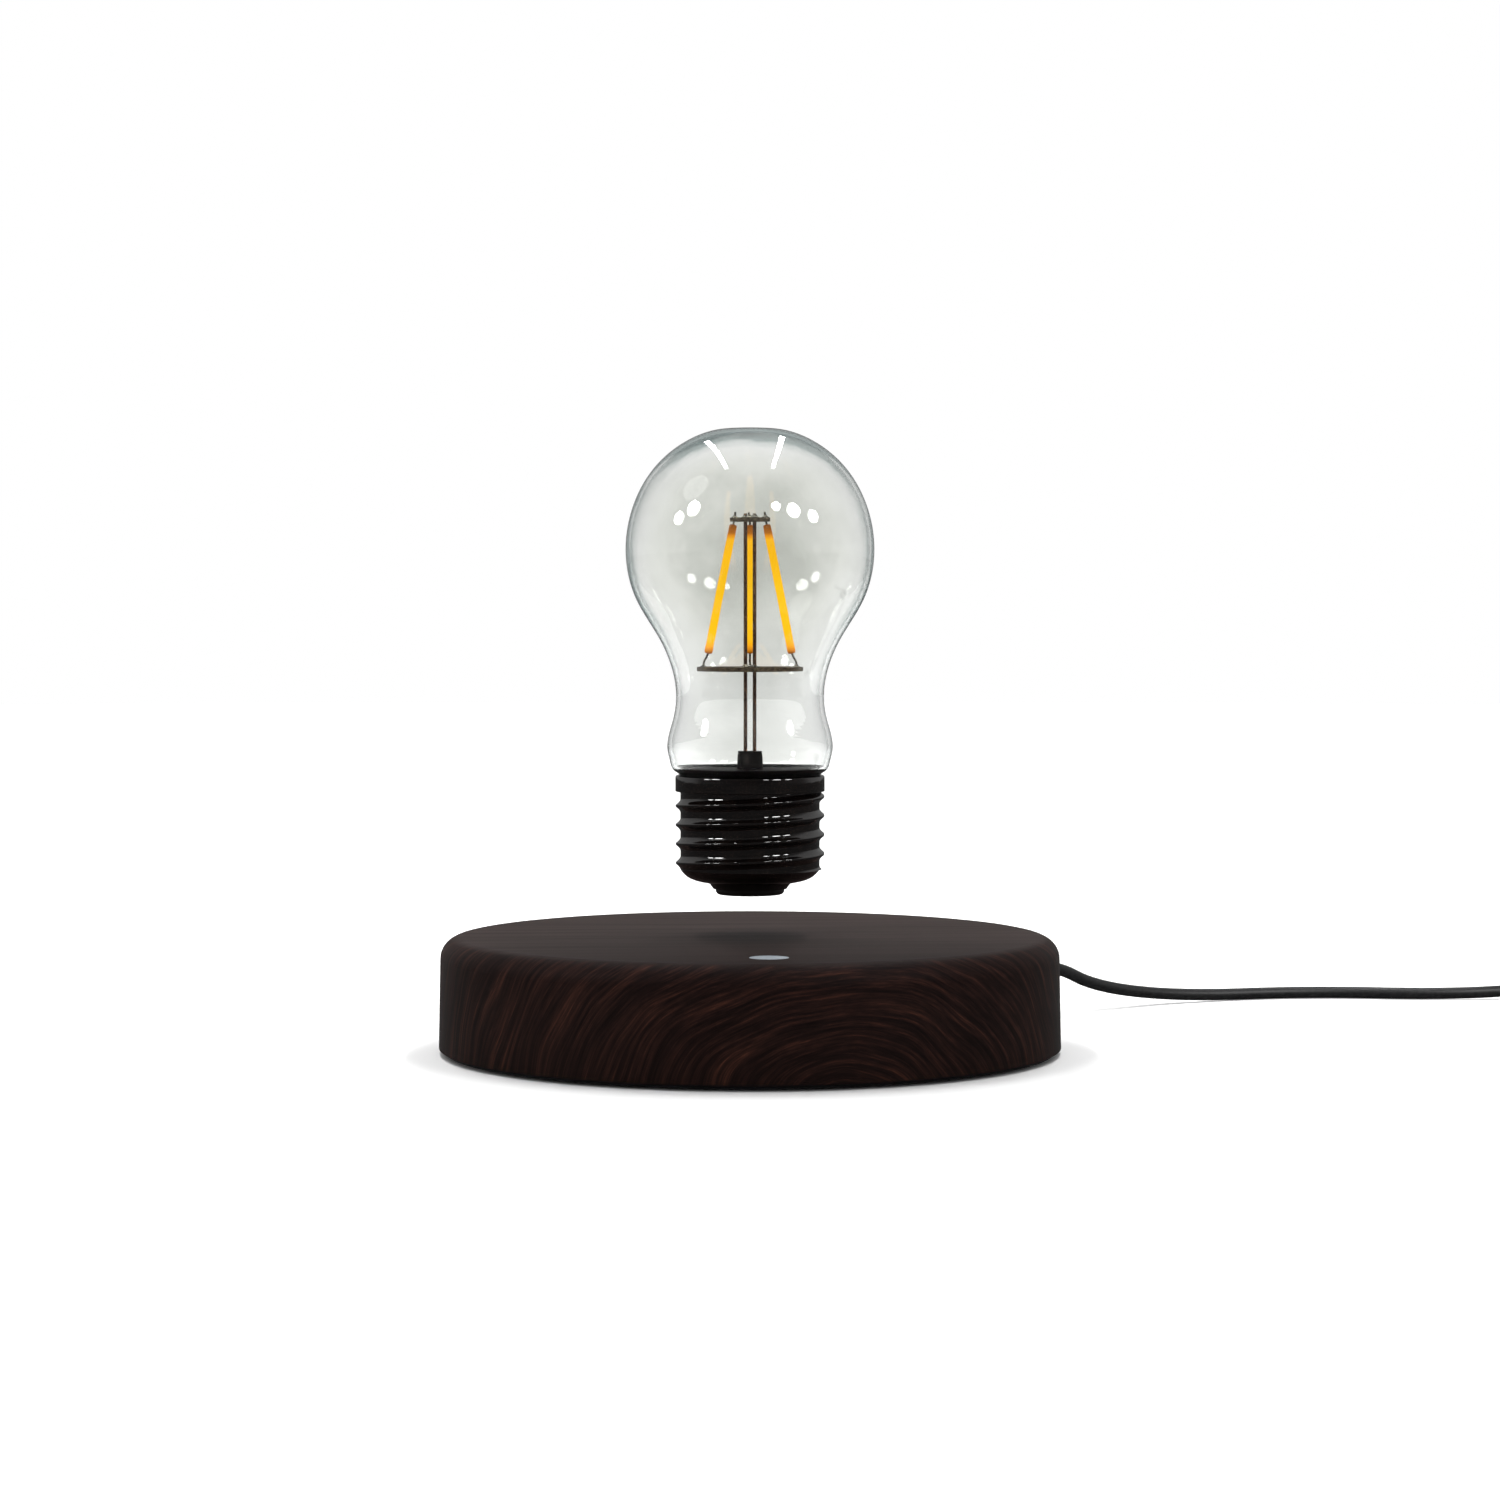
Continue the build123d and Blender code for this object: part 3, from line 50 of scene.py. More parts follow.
# Rubber feet: four black moulded rubber pads pressed into the bottom cover. Rubber is matt, with
# a fine mottle.
def tone(text):
    """An sRGB hex colour as linear RGBA."""
    parts = [int(text[i:i + 2], 16) / 255 for i in (1, 3, 5)]
    return [c / 12.92 if c <= 0.04045 else ((c + 0.055) / 1.055) ** 2.4 for c in parts] + [1.0]


def put(tree, kind, inputs=None, ramp=None, **settings):
    """Adds a node: its settings, then its inputs, each a value or another node's output."""
    node = tree.nodes.new(kind)
    for name, value in settings.items():
        setattr(node, name, value)
    for socket, value in (inputs or {}).items():
        if isinstance(value, bpy.types.NodeSocket):
            tree.links.new(value, node.inputs[socket])
        else:
            node.inputs[socket].default_value = value
    if ramp:
        stops = node.color_ramp.elements
        while len(stops) < len(ramp):
            stops.new(0.5)
        for stop, (place, colour) in zip(stops, ramp):
            stop.position = place
            stop.color = tone(colour) if isinstance(colour, str) else [colour] * 3 + [1.0]
    return node


def surface(name, **values):
    """A new material with these values on its shader; returns it, its tree, shader and place in mm."""
    material = bpy.data.materials.new(name)
    material.use_nodes = True
    tree = material.node_tree
    shader = tree.nodes["Principled BSDF"]
    for socket, value in values.items():
        shader.inputs[socket.replace("_", " ")].default_value = value
    where = put(tree, "ShaderNodeTexCoord").outputs["Object"]
    place = put(tree, "ShaderNodeVectorMath", {0: where, 3: 1 / MM}, operation="SCALE").outputs[0]
    return material, tree, shader, place


def speckle(name, dark, light, grain, relief=0.0, spread=(0.35, 0.65), **values):
    """A finish mottled between two colours at a grain size in mm, with a relief in mm."""
    material, tree, shader, place = surface(name, **values)
    noise = put(tree, "ShaderNodeTexNoise", {"Vector": place, "Scale": 1 / grain, "Detail": 4.0})
    colour = put(tree, "ShaderNodeValToRGB", {0: noise.outputs["Fac"]},
                 ramp=[(spread[0], dark), (spread[1], light)])
    tree.links.new(colour.outputs["Color"], shader.inputs["Base Color"])
    if relief:
        bump = put(tree, "ShaderNodeBump", {"Height": noise.outputs["Fac"], "Distance": relief * MM})
        tree.links.new(bump.outputs["Normal"], shader.inputs["Normal"])
    return material


def paint(material, *nodes):
    """Gives CAD nodes a material."""
    for node in nodes:
        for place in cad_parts[node].material_slots:
            place.material = material


paint(speckle("moulded_rubber_black", "#101010", "#1E1E1E", 0.5, 0.02, Roughness=0.85,
              Specular_IOR_Level=0.25), "rubber_feet")


# Bottom cover: an inset plate moulded in black ABS with a fine spark-eroded grain, which shows
# as a dark band under the wood. Four black-oxide machine screws hold it.
paint(speckle("spark_grained_abs_black", "#0B0B0C", "#161617", 0.35, 0.03, Roughness=0.6,
              Specular_IOR_Level=0.3), "base_bottom_cover")
paint(speckle("black_oxide_steel", "#17181A", "#2C2D30", 0.4, 0.01, Metallic=1.0, Roughness=0.42),
      "cover_screws", "touch_board_screws", "board_screws")


# Control board: glass-epoxy laminate under green solder mask, with the driver chips and chokes in
# black epoxy on its underside, on hexagonal brass spacers. The sensor, touch and rectifier boards
# are the same laminate. Its paler lines stand for the copper tracks under the mask.
laminate, tree, shader, place = surface("solder_mask_green", Roughness=0.35, Specular_IOR_Level=0.5)
weave = put(tree, "ShaderNodeTexBrick", {
    "Vector": place, "Color1": tone("#15492C"), "Color2": tone("#1B5936"), "Mortar": tone("#226B42"),
    "Scale": 1.0, "Mortar Size": 0.12, "Brick Width": 3.4, "Row Height": 1.3})
tree.links.new(weave.outputs["Color"], shader.inputs["Base Color"])
bump = put(tree, "ShaderNodeBump", {"Height": weave.outputs["Fac"], "Distance": 0.035 * MM})
tree.links.new(bump.outputs["Normal"], shader.inputs["Normal"])
paint(laminate, "main_board", "hall_sensor_board", "touch_board", "driver_board")
paint(speckle("moulded_epoxy_black", "#141416", "#232326", 0.25, 0.02, Roughness=0.55), "board_parts")
paint(speckle("turned_brass", "#B08A46", "#CFA95E", 0.8, 0.0, Metallic=1.0, Roughness=0.28),
      "board_spacers")


# Levitation drive: a sintered ferrite ring magnet, and four windings of enamelled copper wire on
# nylon bobbins with soft-iron cores inside it. The power coil is a flat winding of the same wire.
paint(speckle("sintered_ferrite", "#25272A", "#3A3D41", 1.2, 0.05, Roughness=0.5), "ring_magnet")
paint(speckle("moulded_nylon_natural", "#CFC9B8", "#E2DDCF", 2.0, 0.02, Roughness=0.5,
              Subsurface_Weight=0.1), "coil_bobbins")
paint(speckle("soft_iron", "#5F6163", "#86888B", 0.9, 0.02, Metallic=1.0, Roughness=0.4), "coil_cores")


wire_pitch = 0.6  # mm, drawn a little coarser than the real wire, so that the turns show


def winding(name, vector):
    """Enamelled copper wire laid turn on turn, counted along the axes that the vector keeps."""
    copper, tree, shader, place = surface(name, Metallic=0.85, Roughness=0.3)
    along = put(tree, "ShaderNodeVectorMath", {0: place, 1: vector}, operation="MULTIPLY").outputs[0]
    reach = put(tree, "ShaderNodeVectorMath", {0: along}, operation="LENGTH").outputs["Value"]
    turns = put(tree, "ShaderNodeMath", {0: reach, 1: 2 * math.pi / wire_pitch},
                operation="MULTIPLY").outputs[0]
    wave = put(tree, "ShaderNodeMath", {0: turns}, operation="SINE").outputs[0]
    share = put(tree, "ShaderNodeMapRange", {0: wave, 1: -1.0, 2: 1.0}).outputs[0]
    colour = put(tree, "ShaderNodeValToRGB", {0: share}, ramp=[(0.0, "#4A200F"), (1.0, "#C0703A")])
    tree.links.new(colour.outputs["Color"], shader.inputs["Base Color"])
    bump = put(tree, "ShaderNodeBump", {"Height": share, "Distance": 0.2 * MM})
    tree.links.new(bump.outputs["Normal"], shader.inputs["Normal"])
    return copper


paint(winding("enamelled_copper_upright", (0.0, 0.0, 1.0)), "steering_coils")
paint(winding("enamelled_copper_flat", (1.0, 1.0, 0.0)), "power_coil", "receiver_coil")


# Touch disc: frosted acrylic, flush in the top near the front edge. Its even pale blue-grey is
# painted light: it stands for the light of the board under it, scattered by the etched face.
paint(speckle("frosted_acrylic", "#8E979F", "#A9B2BA", 0.4, 0.01, Roughness=0.45,
              Transmission_Weight=0.15), "touch_lens")


# Housing: ABS moulded as one open drum and covered by a matt wood-effect film, dark wenge with
# red-brown streaks. Round the side its figure is arches that stand on the front's foot, in bands of
# about 1.7 mm with finer streaks in them; on the top it runs straight across. The top's colour is
# painted lighter and greyer than the side's, a painted sheen of its grazing reflection, and darker
# towards the front edge, a painted shade.
drum_radius, drum_top, edge_round = 75.0, 28.0, 0.6
arch_across, arch_rise, arch_sink = 17.0, 1.6, 6.0
wander_size, wander_reach = 26, 9.0
film, tree, shader, place = surface("wood_film_dark_wenge", Roughness=0.6, Specular_IOR_Level=0.03,
                                     Sheen_Weight=0.03, Sheen_Roughness=0.4)
split = put(tree, "ShaderNodeSeparateXYZ", {0: place})
inward = put(tree, "ShaderNodeMath", {0: split.outputs["Y"], 1: -1.0}, operation="MULTIPLY").outputs[0]
round_angle = put(tree, "ShaderNodeMath", {0: split.outputs["X"], 1: inward},
                  operation="ARCTAN2").outputs[0]
round_way = put(tree, "ShaderNodeMath", {0: round_angle, 1: drum_radius},
                operation="MULTIPLY").outputs[0]
unrolled = put(tree, "ShaderNodeCombineXYZ", {0: round_way, 2: split.outputs["Z"]}).outputs[0]
wander = put(tree, "ShaderNodeTexNoise", {"Vector": unrolled, "Scale": 1 / wander_size, "Detail": 1.0})
away = put(tree, "ShaderNodeVectorMath", {
    0: unrolled, 1: (1.0, 1.0, arch_rise), 2: (-arch_across, 0.0, arch_sink)},
           operation="MULTIPLY_ADD").outputs[0]
reach = put(tree, "ShaderNodeVectorMath", {0: away}, operation="LENGTH").outputs["Value"]
arch = put(tree, "ShaderNodeMath", {0: wander.outputs["Fac"], 1: wander_reach, 2: reach},
           operation="MULTIPLY_ADD").outputs[0]
drift = put(tree, "ShaderNodeMath", {0: round_way, 1: 0.08}, operation="MULTIPLY").outputs[0]
side_line = put(tree, "ShaderNodeCombineXYZ", {0: arch, 1: drift}).outputs[0]
side = put(tree, "ShaderNodeTexNoise", {"Vector": side_line, "Scale": 0.6, "Detail": 4.0,
                                        "Roughness": 0.78})  # 1 / 0.6 is the band's width in mm
side_colour = put(tree, "ShaderNodeValToRGB", {0: side.outputs["Fac"]}, ramp=[
    (0.34, "#100706"), (0.47, "#190D0B"), (0.56, "#251410"), (0.67, "#371F17"), (0.86, "#583422")])
# The top's grain, painted lighter and greyer than the side: a painted sheen for its grazing reflection.
top_line = put(tree, "ShaderNodeVectorMath", {0: place, 1: (0.02, 0.5, 0.02)},
               operation="MULTIPLY").outputs[0]
top = put(tree, "ShaderNodeTexNoise", {"Vector": top_line, "Scale": 0.9, "Detail": 4.0})
top_grain_and_painted_sheen = put(tree, "ShaderNodeValToRGB", {0: top.outputs["Fac"]}, ramp=[
    (0.35, "#261D1B"), (0.65, "#352B29")])
# Painted shade: the top is darkened towards its front edge, to the dark #1A100F.
painted_front_shade = put(tree, "ShaderNodeMapRange", {0: split.outputs["Y"], 1: -15.0, 2: -70.0, 4: 0.8}).outputs[0]
top_with_painted_front_shade = put(tree, "ShaderNodeMix", {0: painted_front_shade, 6: top_grain_and_painted_sheen.outputs["Color"], 7: tone("#1A100F")},
                data_type="RGBA")
# Over the top 0.6 mm of the drum the side's colour gives way to the top's painted sheen and shade.
level = put(tree, "ShaderNodeMapRange", {0: split.outputs["Z"], 1: drum_top - edge_round,
                                         2: drum_top}).outputs[0]
colour = put(tree, "ShaderNodeMix", {0: level, 6: side_colour.outputs["Color"],
                                     7: top_with_painted_front_shade.outputs[2]}, data_type="RGBA")
tree.links.new(colour.outputs[2], shader.inputs["Base Color"])
bump = put(tree, "ShaderNodeBump", {"Height": side.outputs["Fac"], "Distance": 0.03 * MM, "Strength": 0.5})
tree.links.new(bump.outputs["Normal"], shader.inputs["Normal"])
paint(film, "base_housing")


# Power socket: a barrel jack moulded in black PBT in the back of the drum, one piece with its
# centre pin here. The lead's barrel plug fits it: nickel-plated brass in a soft PVC grip with
# grooves and a slotted strain relief.
paint(speckle("moulded_pbt_black", "#0E0E0F", "#1A1A1C", 0.5, 0.02, Roughness=0.45), "power_socket")
nickel = speckle("nickel_plate", "#B4B1AA", "#D2CFC8", 1.5, 0.0, Metallic=1.0, Roughness=0.22)
paint(nickel, "power_plug_barrel", "usb_plug_shell")
soft_pvc = speckle("soft_pvc_black", "#0C0C0D", "#191919", 0.6, 0.03, Roughness=0.62,
                   Specular_IOR_Level=0.35)
paint(soft_pvc, "power_plug", "plug_relief", "usb_relief", "usb_plug_body")
paint(speckle("moulded_pbt_white", "#D8D8D6", "#EDEDEA", 0.8, 0.0, Roughness=0.4), "usb_plug_tongue")


# Lead: one round black cord with a soft PVC jacket. It drops from the plug to the table, swings
# out to the right and is put away in a flat coil of two layers under a strap, with the far plug
# beside it. The extruded jacket is half matt, with a faint mottle.
cord_radius = 1.6
socket_level, table_level, tail_level = 13.0, 1.65, 4.05
plug_end, straight_run = 103.38, 7.1
coil_pitch = 3.65
coil_low = 2.45
coil_centre = (238.0, 92.0)
coil_least = 12.3625
turns_in, turns_out, climb_turns = 3.75, 3.5, 0.5
tail_length, tail_shift = 34.0, 1.0
coil_reach = coil_least + coil_pitch * turns_in
out = plug_end / math.sqrt(2)
route = [
    (out, out, socket_level),
    (out + straight_run, out + straight_run, socket_level),
    (92.0, 89.6, 6.0),
    (117.0, 107.5, table_level),
    (153.0, 119.5, table_level),
    (190.0, 112.0, table_level),
    (215.0, coil_centre[1] + coil_reach, coil_low),
]
steps = 16
for i in range(round((turns_in + turns_out) * steps) + 1):
    turns = i / steps
    climb = min(max((turns - turns_in) / climb_turns + 0.5, 0), 1)
    radius = coil_least + coil_pitch * abs(turns_in - turns)
    angle = math.pi / 2 - 2 * math.pi * turns
    route.append((coil_centre[0] + radius * math.cos(angle), coil_centre[1] + radius * math.sin(angle),
                  coil_low + coil_pitch * climb * climb * (3 - 2 * climb)))
coil_end = route[-1]
tail_drop = 2 * cord_radius + tail_length
route += [
    (coil_end[0], coil_end[1] - tail_drop / 3, coil_end[2]),
    (coil_end[0] + tail_shift, coil_end[1] - tail_drop * 2 / 3, tail_level),
    (coil_end[0] + tail_shift, coil_end[1] - tail_drop, tail_level),
]


def in_view(point):
    """A point of the turned frame in mm, as metres in the part's frame."""
    return view_turn @ (Vector(point) * MM)


def add_object(name, data):
    """A new object in the scene."""
    thing = bpy.data.objects.new(name, data)
    bpy.context.scene.collection.objects.link(thing)
    return thing


def round_wires(name, radius, facets, routes):
    """A curve of round section with one smooth line through each route of points in mm."""
    line = bpy.data.curves.new(name, "CURVE")
    line.dimensions = "3D"
    line.bevel_depth = radius * MM
    line.bevel_resolution = facets
    line.use_fill_caps = True
    for points in routes:
        spline = line.splines.new("NURBS")
        spline.points.add(len(points) - 1)
        for control, point in zip(spline.points, points):
            control.co = (*in_view(point), 1.0)
        spline.order_u = 3
        spline.use_endpoint_u = True
    return line


cord_line = round_wires("lead_cord", cord_radius, 5, [route])
cord_line.resolution_u = 8
lead_cord = add_object("lead_cord", cord_line)
jacket = speckle("extruded_pvc_jacket", "#0D0D0E", "#1B1B1C", 0.9, 0.04, Roughness=0.5,
                 Specular_IOR_Level=0.4)
cord_line.materials.append(jacket)
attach(lead_cord, "lead")
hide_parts("lead_run", "lead_coil", "lead_tail")
in_view(route[0])
paint(speckle("woven_nylon_strap", "#0F0F10", "#202022", 0.3, 0.08, Roughness=0.9), "coil_tie")


# Contact end of the bulb: a stepped insulator and a centre contact, both in the black of the cap,
# because the lamp takes its power without touching anything.
paint(speckle("bakelite_black", "#0A0807", "#151110", 0.8, 0.02, Roughness=0.3), "contact_insulator",
      "centre_contact")


# Inside the cap: a nickel-plated neodymium magnet, which the base lifts.
paint(nickel, "bulb_magnet")


# Screw cap: phenolic moulding in gloss black with a collar and a right-handed screw thread, whose
# narrow crests have hollow flanks that run out into the root. Its polished mould leaves it glossy,
# with a faint waviness that breaks the lights' reflections up.
def revolved(name, rows, steps, place=None, closed=False):
    """A mesh of rings about Z in mm: a row is (radius, level), or gives them for an angle."""
    turns = [2 * math.pi * i / steps for i in range(steps)]
    rings = []
    for row in rows:
        shape = row if callable(row) else (lambda angle, row=row: row)
        rings.append([(r * math.cos(a), r * math.sin(a), z) for a in turns for r, z in [shape(a)]])
    made = bmesh.new()
    grid = [[made.verts.new(Vector(point) * MM) for point in ring] for ring in rings]
    pairs = list(zip(grid, grid[1:] + grid[:1] if closed else grid[1:]))
    for lower, upper in pairs:
        for i in range(steps):
            j = (i + 1) % steps
            made.faces.new((lower[i], lower[j], upper[j], upper[i]))
    bmesh.ops.remove_doubles(made, verts=made.verts, dist=1e-7)
    bmesh.ops.recalc_face_normals(made, faces=made.faces)
    for face in made.faces:
        face.smooth = True
    if place:
        made.transform(place)
    return piece(name, made)


def piece(name, made):
    """A new object from a bmesh, which it uses up."""
    mesh = bpy.data.meshes.new(name)
    made.to_mesh(mesh)
    made.free()
    return add_object(name, mesh)


def dress(thing, material, slot, body, *nodes):
    """Gives a piece its material, and says which body it rides on and what it stands for. slot is not
    used.
    """
    thing.data.materials.append(material)
    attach(thing, body)
    if nodes:
        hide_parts(*nodes)


def arc(centre, radius, start, end, steps):
    """Points of an arc in the radius and level plane, angles in degrees."""
    turns = [math.radians(start + (end - start) * i / steps) for i in range(steps + 1)]
    return [(centre[0] + radius * math.cos(a), centre[1] + radius * math.sin(a)) for a in turns]


thread_root, thread_depth, thread_flank, thread_pitch, thread_land = 16.75, 1.2, 1.35, 4.6, 0.4
thread_low, thread_high = 44.0, 62.9
thread_origin = thread_low - thread_pitch / 2
thread_start = math.radians(-129.5)
crest_pull, flank_curve, crest_softness, crest_lift = 0.8, 1.5, 0.003, 0.05


def thread_row(level):
    """A ring of the thread, drawn towards the crest that is nearest at each angle."""
    def shape(angle):
        ahead = (level - thread_origin) / thread_pitch - (angle - thread_start) / (2 * math.pi)
        pull = crest_pull * min(1.0, level - thread_low, thread_high - level)
        here = level - pull * thread_pitch * math.sin(2 * math.pi * ahead) / (2 * math.pi)
        turns = (here - thread_origin) / thread_pitch - (angle - thread_start) / (2 * math.pi)
        off = abs(turns - round(turns)) * thread_pitch
        inside = max(0.0, thread_land / 2 + thread_flank - max(off, thread_land / 2))
        rise = thread_depth * (inside / thread_flank) ** flank_curve
        short = math.sqrt((thread_depth - min(rise, thread_depth)) ** 2 + crest_softness)
        return thread_root + max(thread_depth - short + crest_lift, 0.0), here
    return shape


thread_rows, cap_steps = 200, 288
# The hole for the contact end, then the waisted shoulder
rows = [(8.65, 43.4), (8.65, 40.9), (8.75, 40.8), (9.9, 40.8), (11.4, 41.0), (12.6, 41.24)]
rows += [(13.7, 41.56), (14.7, 42.0), (15.4, 42.46), (15.95, 42.95), (16.4, 43.45), (16.68, 43.9)]
rows += [thread_row(thread_low + (thread_high - thread_low) * i / thread_rows)
         for i in range(1, thread_rows)]
# The collar, the seat of the glass, and the stepped bore down to the magnet
rows += [(16.8, 62.9), (17.7, 62.9)] + arc((17.75, 63.15), 0.25, -90, 0, 4)
rows += arc((17.5, 66.3), 0.5, 0, 90, 6) + [(17.15, 66.8), (17.1, 66.75), (17.1, 64.0), (15.35, 64.0)]
rows += [(15.35, 60.6), (14.75, 60.6), (14.75, 54.0), (14.25, 54.0), (14.25, 43.4)]
screw_cap = revolved("screw_cap_moulding", rows, cap_steps, closed=True)
screw_cap.data.set_sharp_from_angle(angle=math.radians(50))
cap_gloss = speckle("phenolic_gloss_black", "#060404", "#0F0A08", 3.6, 0.06, Roughness=0.045,
                    Specular_IOR_Level=1.0)
dress(screw_cap, cap_gloss, "cap_black", "bulb", "screw_cap")
lid_black = speckle("phenolic_satin_black", "#1A1716", "#262120", 2.0, 0.03, Roughness=0.3,
                    Specular_IOR_Level=0.15)
paint(lid_black, "cap_lid")


# Frame of the light: two steel rods stand in the lid's boss and carry two round plates of brown
# laminate, which are punched from sheet. Both are dull, with a fine mottle.
paint(speckle("oxidised_steel_wire", "#5E4232", "#80634F", 0.6, 0.02, Metallic=0.5, Roughness=0.45),
      "support_rods")
paint(speckle("phenolic_laminate_brown", "#3A3126", "#6A5C48", 0.6, 0.05, Roughness=0.7,
              Specular_IOR_Level=0.15), "lower_disc", "upper_disc")


# Filaments: chips on thin strips, dipped in silicone with yellow phosphor, so each is a round bar
# with soft ends and an uneven skin. The ends are brown where the steel caps show through.
top_spread, foot_spread, top_level, foot_level = 4.0, 10.1, 127.1, 96.3
filament_run = foot_spread - top_spread
filament_drop = top_level - foot_level
filament_length = math.hypot(filament_run, filament_drop)
filament_sides = {"right": 0.0, "back": 90.0, "left": 180.0}
filament_radius, end_round, skin_swing, skin_rings = 0.97, 0.45, 0.03, 32
phosphor, tree, shader, place = surface("phosphor_silicone", Roughness=0.45, Specular_IOR_Level=0.15)
split = put(tree, "ShaderNodeSeparateXYZ", {0: place})
rise = put(tree, "ShaderNodeMapRange", {0: split.outputs["Z"], 1: foot_level, 2: top_level}).outputs[0]
colour = put(tree, "ShaderNodeValToRGB", {0: rise}, ramp=[
    (0.0, "#6E3A08"), (0.03, "#D98210"), (0.06, "#F5A612"), (0.12, "#FFBE16"), (0.5, "#FFC41C"),
    (0.88, "#FBB816"), (0.915, "#E08A0E"), (0.935, "#A8600A"), (1.0, "#7A4408")])
rim = put(tree, "ShaderNodeLayerWeight", {"Blend": 0.35}).outputs["Facing"]
edge = put(tree, "ShaderNodeMapRange", {0: rim, 1: 0.45, 2: 1.0, 3: 0.0, 4: 0.7}).outputs[0]
glow = put(tree, "ShaderNodeMix", {0: edge, 6: colour.outputs["Color"], 7: tone("#B86A08")},
           data_type="RGBA")
tree.links.new(glow.outputs[2], shader.inputs["Emission Color"])
shader.inputs["Base Color"].default_value = tone("#1A0E02")
shader.inputs["Emission Strength"].default_value = 1.35
for number, (side, angle) in enumerate(filament_sides.items()):
    dip = random.Random(number)
    bumps = [dip.uniform(-skin_swing, skin_swing) for _ in range(skin_rings + 1)]
    rows = [(0.0, 0.0)] + arc((0.5, end_round), end_round, -90, 0, 5)
    rows += [(filament_radius + bump - 0.04 * (i > skin_rings - 2),
              0.6 + (filament_length - 1.3) * i / skin_rings) for i, bump in enumerate(bumps)]
    rows += arc((end_round, filament_length - end_round), end_round, 0, 90, 5)
    rows.append((0.0, filament_length))
    lean = Matrix.Rotation(-math.atan2(filament_run, filament_drop), 4, "Y")
    stand = view_turn @ Matrix.Rotation(math.radians(angle), 4, "Z") @ Matrix.Translation(
        Vector((foot_spread, 0, foot_level)) * MM) @ lean
    dress(revolved(f"filament_{side}", rows, 32, stand), phosphor, "filament_yellow", "bulb",
          f"led_filament_{side}")


# Wires and solder: tinned steel wires run from each filament to the plates. Each passes its plate
# and stands in a cone of solder that has crept up it.
wire_radius, rod_radius, rod_offset = 0.26, 0.45, 1.1
lower_hole, upper_hole = 11.2, 3.67
lean_share = filament_run / filament_drop
wires = []
for side, angle in filament_sides.items():
    turn = Matrix.Rotation(math.radians(angle), 4, "Z")
    upper = [(top_spread + 0.4 * lean_share, 0, 126.7), (top_spread - 0.6 * lean_share, 0, 127.8),
             (top_spread - 2.0 * lean_share, 0.1, 129.1), (top_spread - 2.4 * lean_share, 0.3, 130.1)]
    lower = [(foot_spread - 0.1, 0, 96.8), (foot_spread + 0.25, 0, 95.5), (11.0, 0.05, 94.6),
             (lower_hole, 0, 93.9), (lower_hole, 0, 91.9)]
    wires += [[turn @ Vector(point) for point in points] for points in (upper, lower)]
filament_wires = add_object("filament_wires", round_wires("filament_wires", wire_radius, 3, wires))
dress(filament_wires, speckle("tinned_wire", "#3A352C", "#9A9588", 0.5, 0.02, Metallic=1.0,
                              Roughness=0.35), "lead_metal", "bulb", "filament_leads")

solder = speckle("solder", "#4A463D", "#BDB9AE", 0.35, 0.05, Metallic=1.0, Roughness=0.25)
plates = {"lower": (93.0, lower_hole), "upper": (128.75, upper_hole)}
for name, (level, spread) in plates.items():
    spots = [(x, 0.0, rod_radius) for x in (-rod_offset, rod_offset)]
    spots += [(spread * math.cos(math.radians(a)), spread * math.sin(math.radians(a)), wire_radius)
              for a in filament_sides.values()]
    joints = bmesh.new()
    drops = random.Random(len(name) + round(level))
    for x, y, wire in spots:
        reach, climb = 0.75 + drops.uniform(-0.1, 0.12), 0.75 + drops.uniform(-0.15, 0.1)
        steps = 20
        profile = [(wire + reach * (1 - i / 6) ** 2.2 + 0.02, climb * (i / 6) ** 0.9) for i in range(7)]
        profile = [(wire * 0.6, 0.0), (wire + reach + 0.02, 0.0)] + profile[1:] + [(wire * 0.6, climb)]
        rings = [[joints.verts.new(in_view((x + r * math.cos(a), y + r * math.sin(a), level + z)))
                  for a in (2 * math.pi * i / steps for i in range(steps))] for r, z in profile]
        for low_ring, high_ring in zip(rings, rings[1:] + rings[:1]):
            for i in range(steps):
                j = (i + 1) % steps
                joints.faces.new((low_ring[i], low_ring[j], high_ring[j], high_ring[i]))
    bmesh.ops.recalc_face_normals(joints, faces=joints.faces)
    for face in joints.faces:
        face.smooth = True
    dress(piece(f"solder_{name}", joints), solder, "solder", "bulb", "solder_joints")


# Glass: a pear-shaped envelope blown in clear soda-lime glass, with a wall of 1 mm and a faint
# green-grey body colour that gathers at its edges; towards the crown it is darkened more, a painted
# shade. A bead of black sealant inside its mouth holds it to the lid and closes the slit between
# them.
def flowing(points, first_way, last_way, steps):
    """A smooth line through points: a clamped cubic spline over the lengths between them."""
    xy = np.array(points)
    gaps = np.linalg.norm(np.diff(xy, axis=0), axis=1)
    count = len(points)
    left, right = np.zeros((count, count)), np.zeros((count, 2))
    left[0, 0] = left[-1, -1] = 1
    right[0], right[-1] = first_way, last_way
    for i in range(1, count - 1):
        before, after = gaps[i - 1], gaps[i]
        left[i, i - 1:i + 2] = after, 2 * (before + after), before
        right[i] = 3 * (after / before * (xy[i] - xy[i - 1]) + before / after * (xy[i + 1] - xy[i]))
    ways = np.linalg.solve(left, right)
    line = []
    for i in range(count - 1):
        for t in np.linspace(0, 1, steps, endpoint=False):
            line.append((1 + 2 * t) * (1 - t) ** 2 * xy[i] + t * (1 - t) ** 2 * gaps[i] * ways[i]
                        + t * t * (3 - 2 * t) * xy[i + 1] - t * t * (1 - t) * gaps[i] * ways[i + 1])
    return line + [xy[-1]]


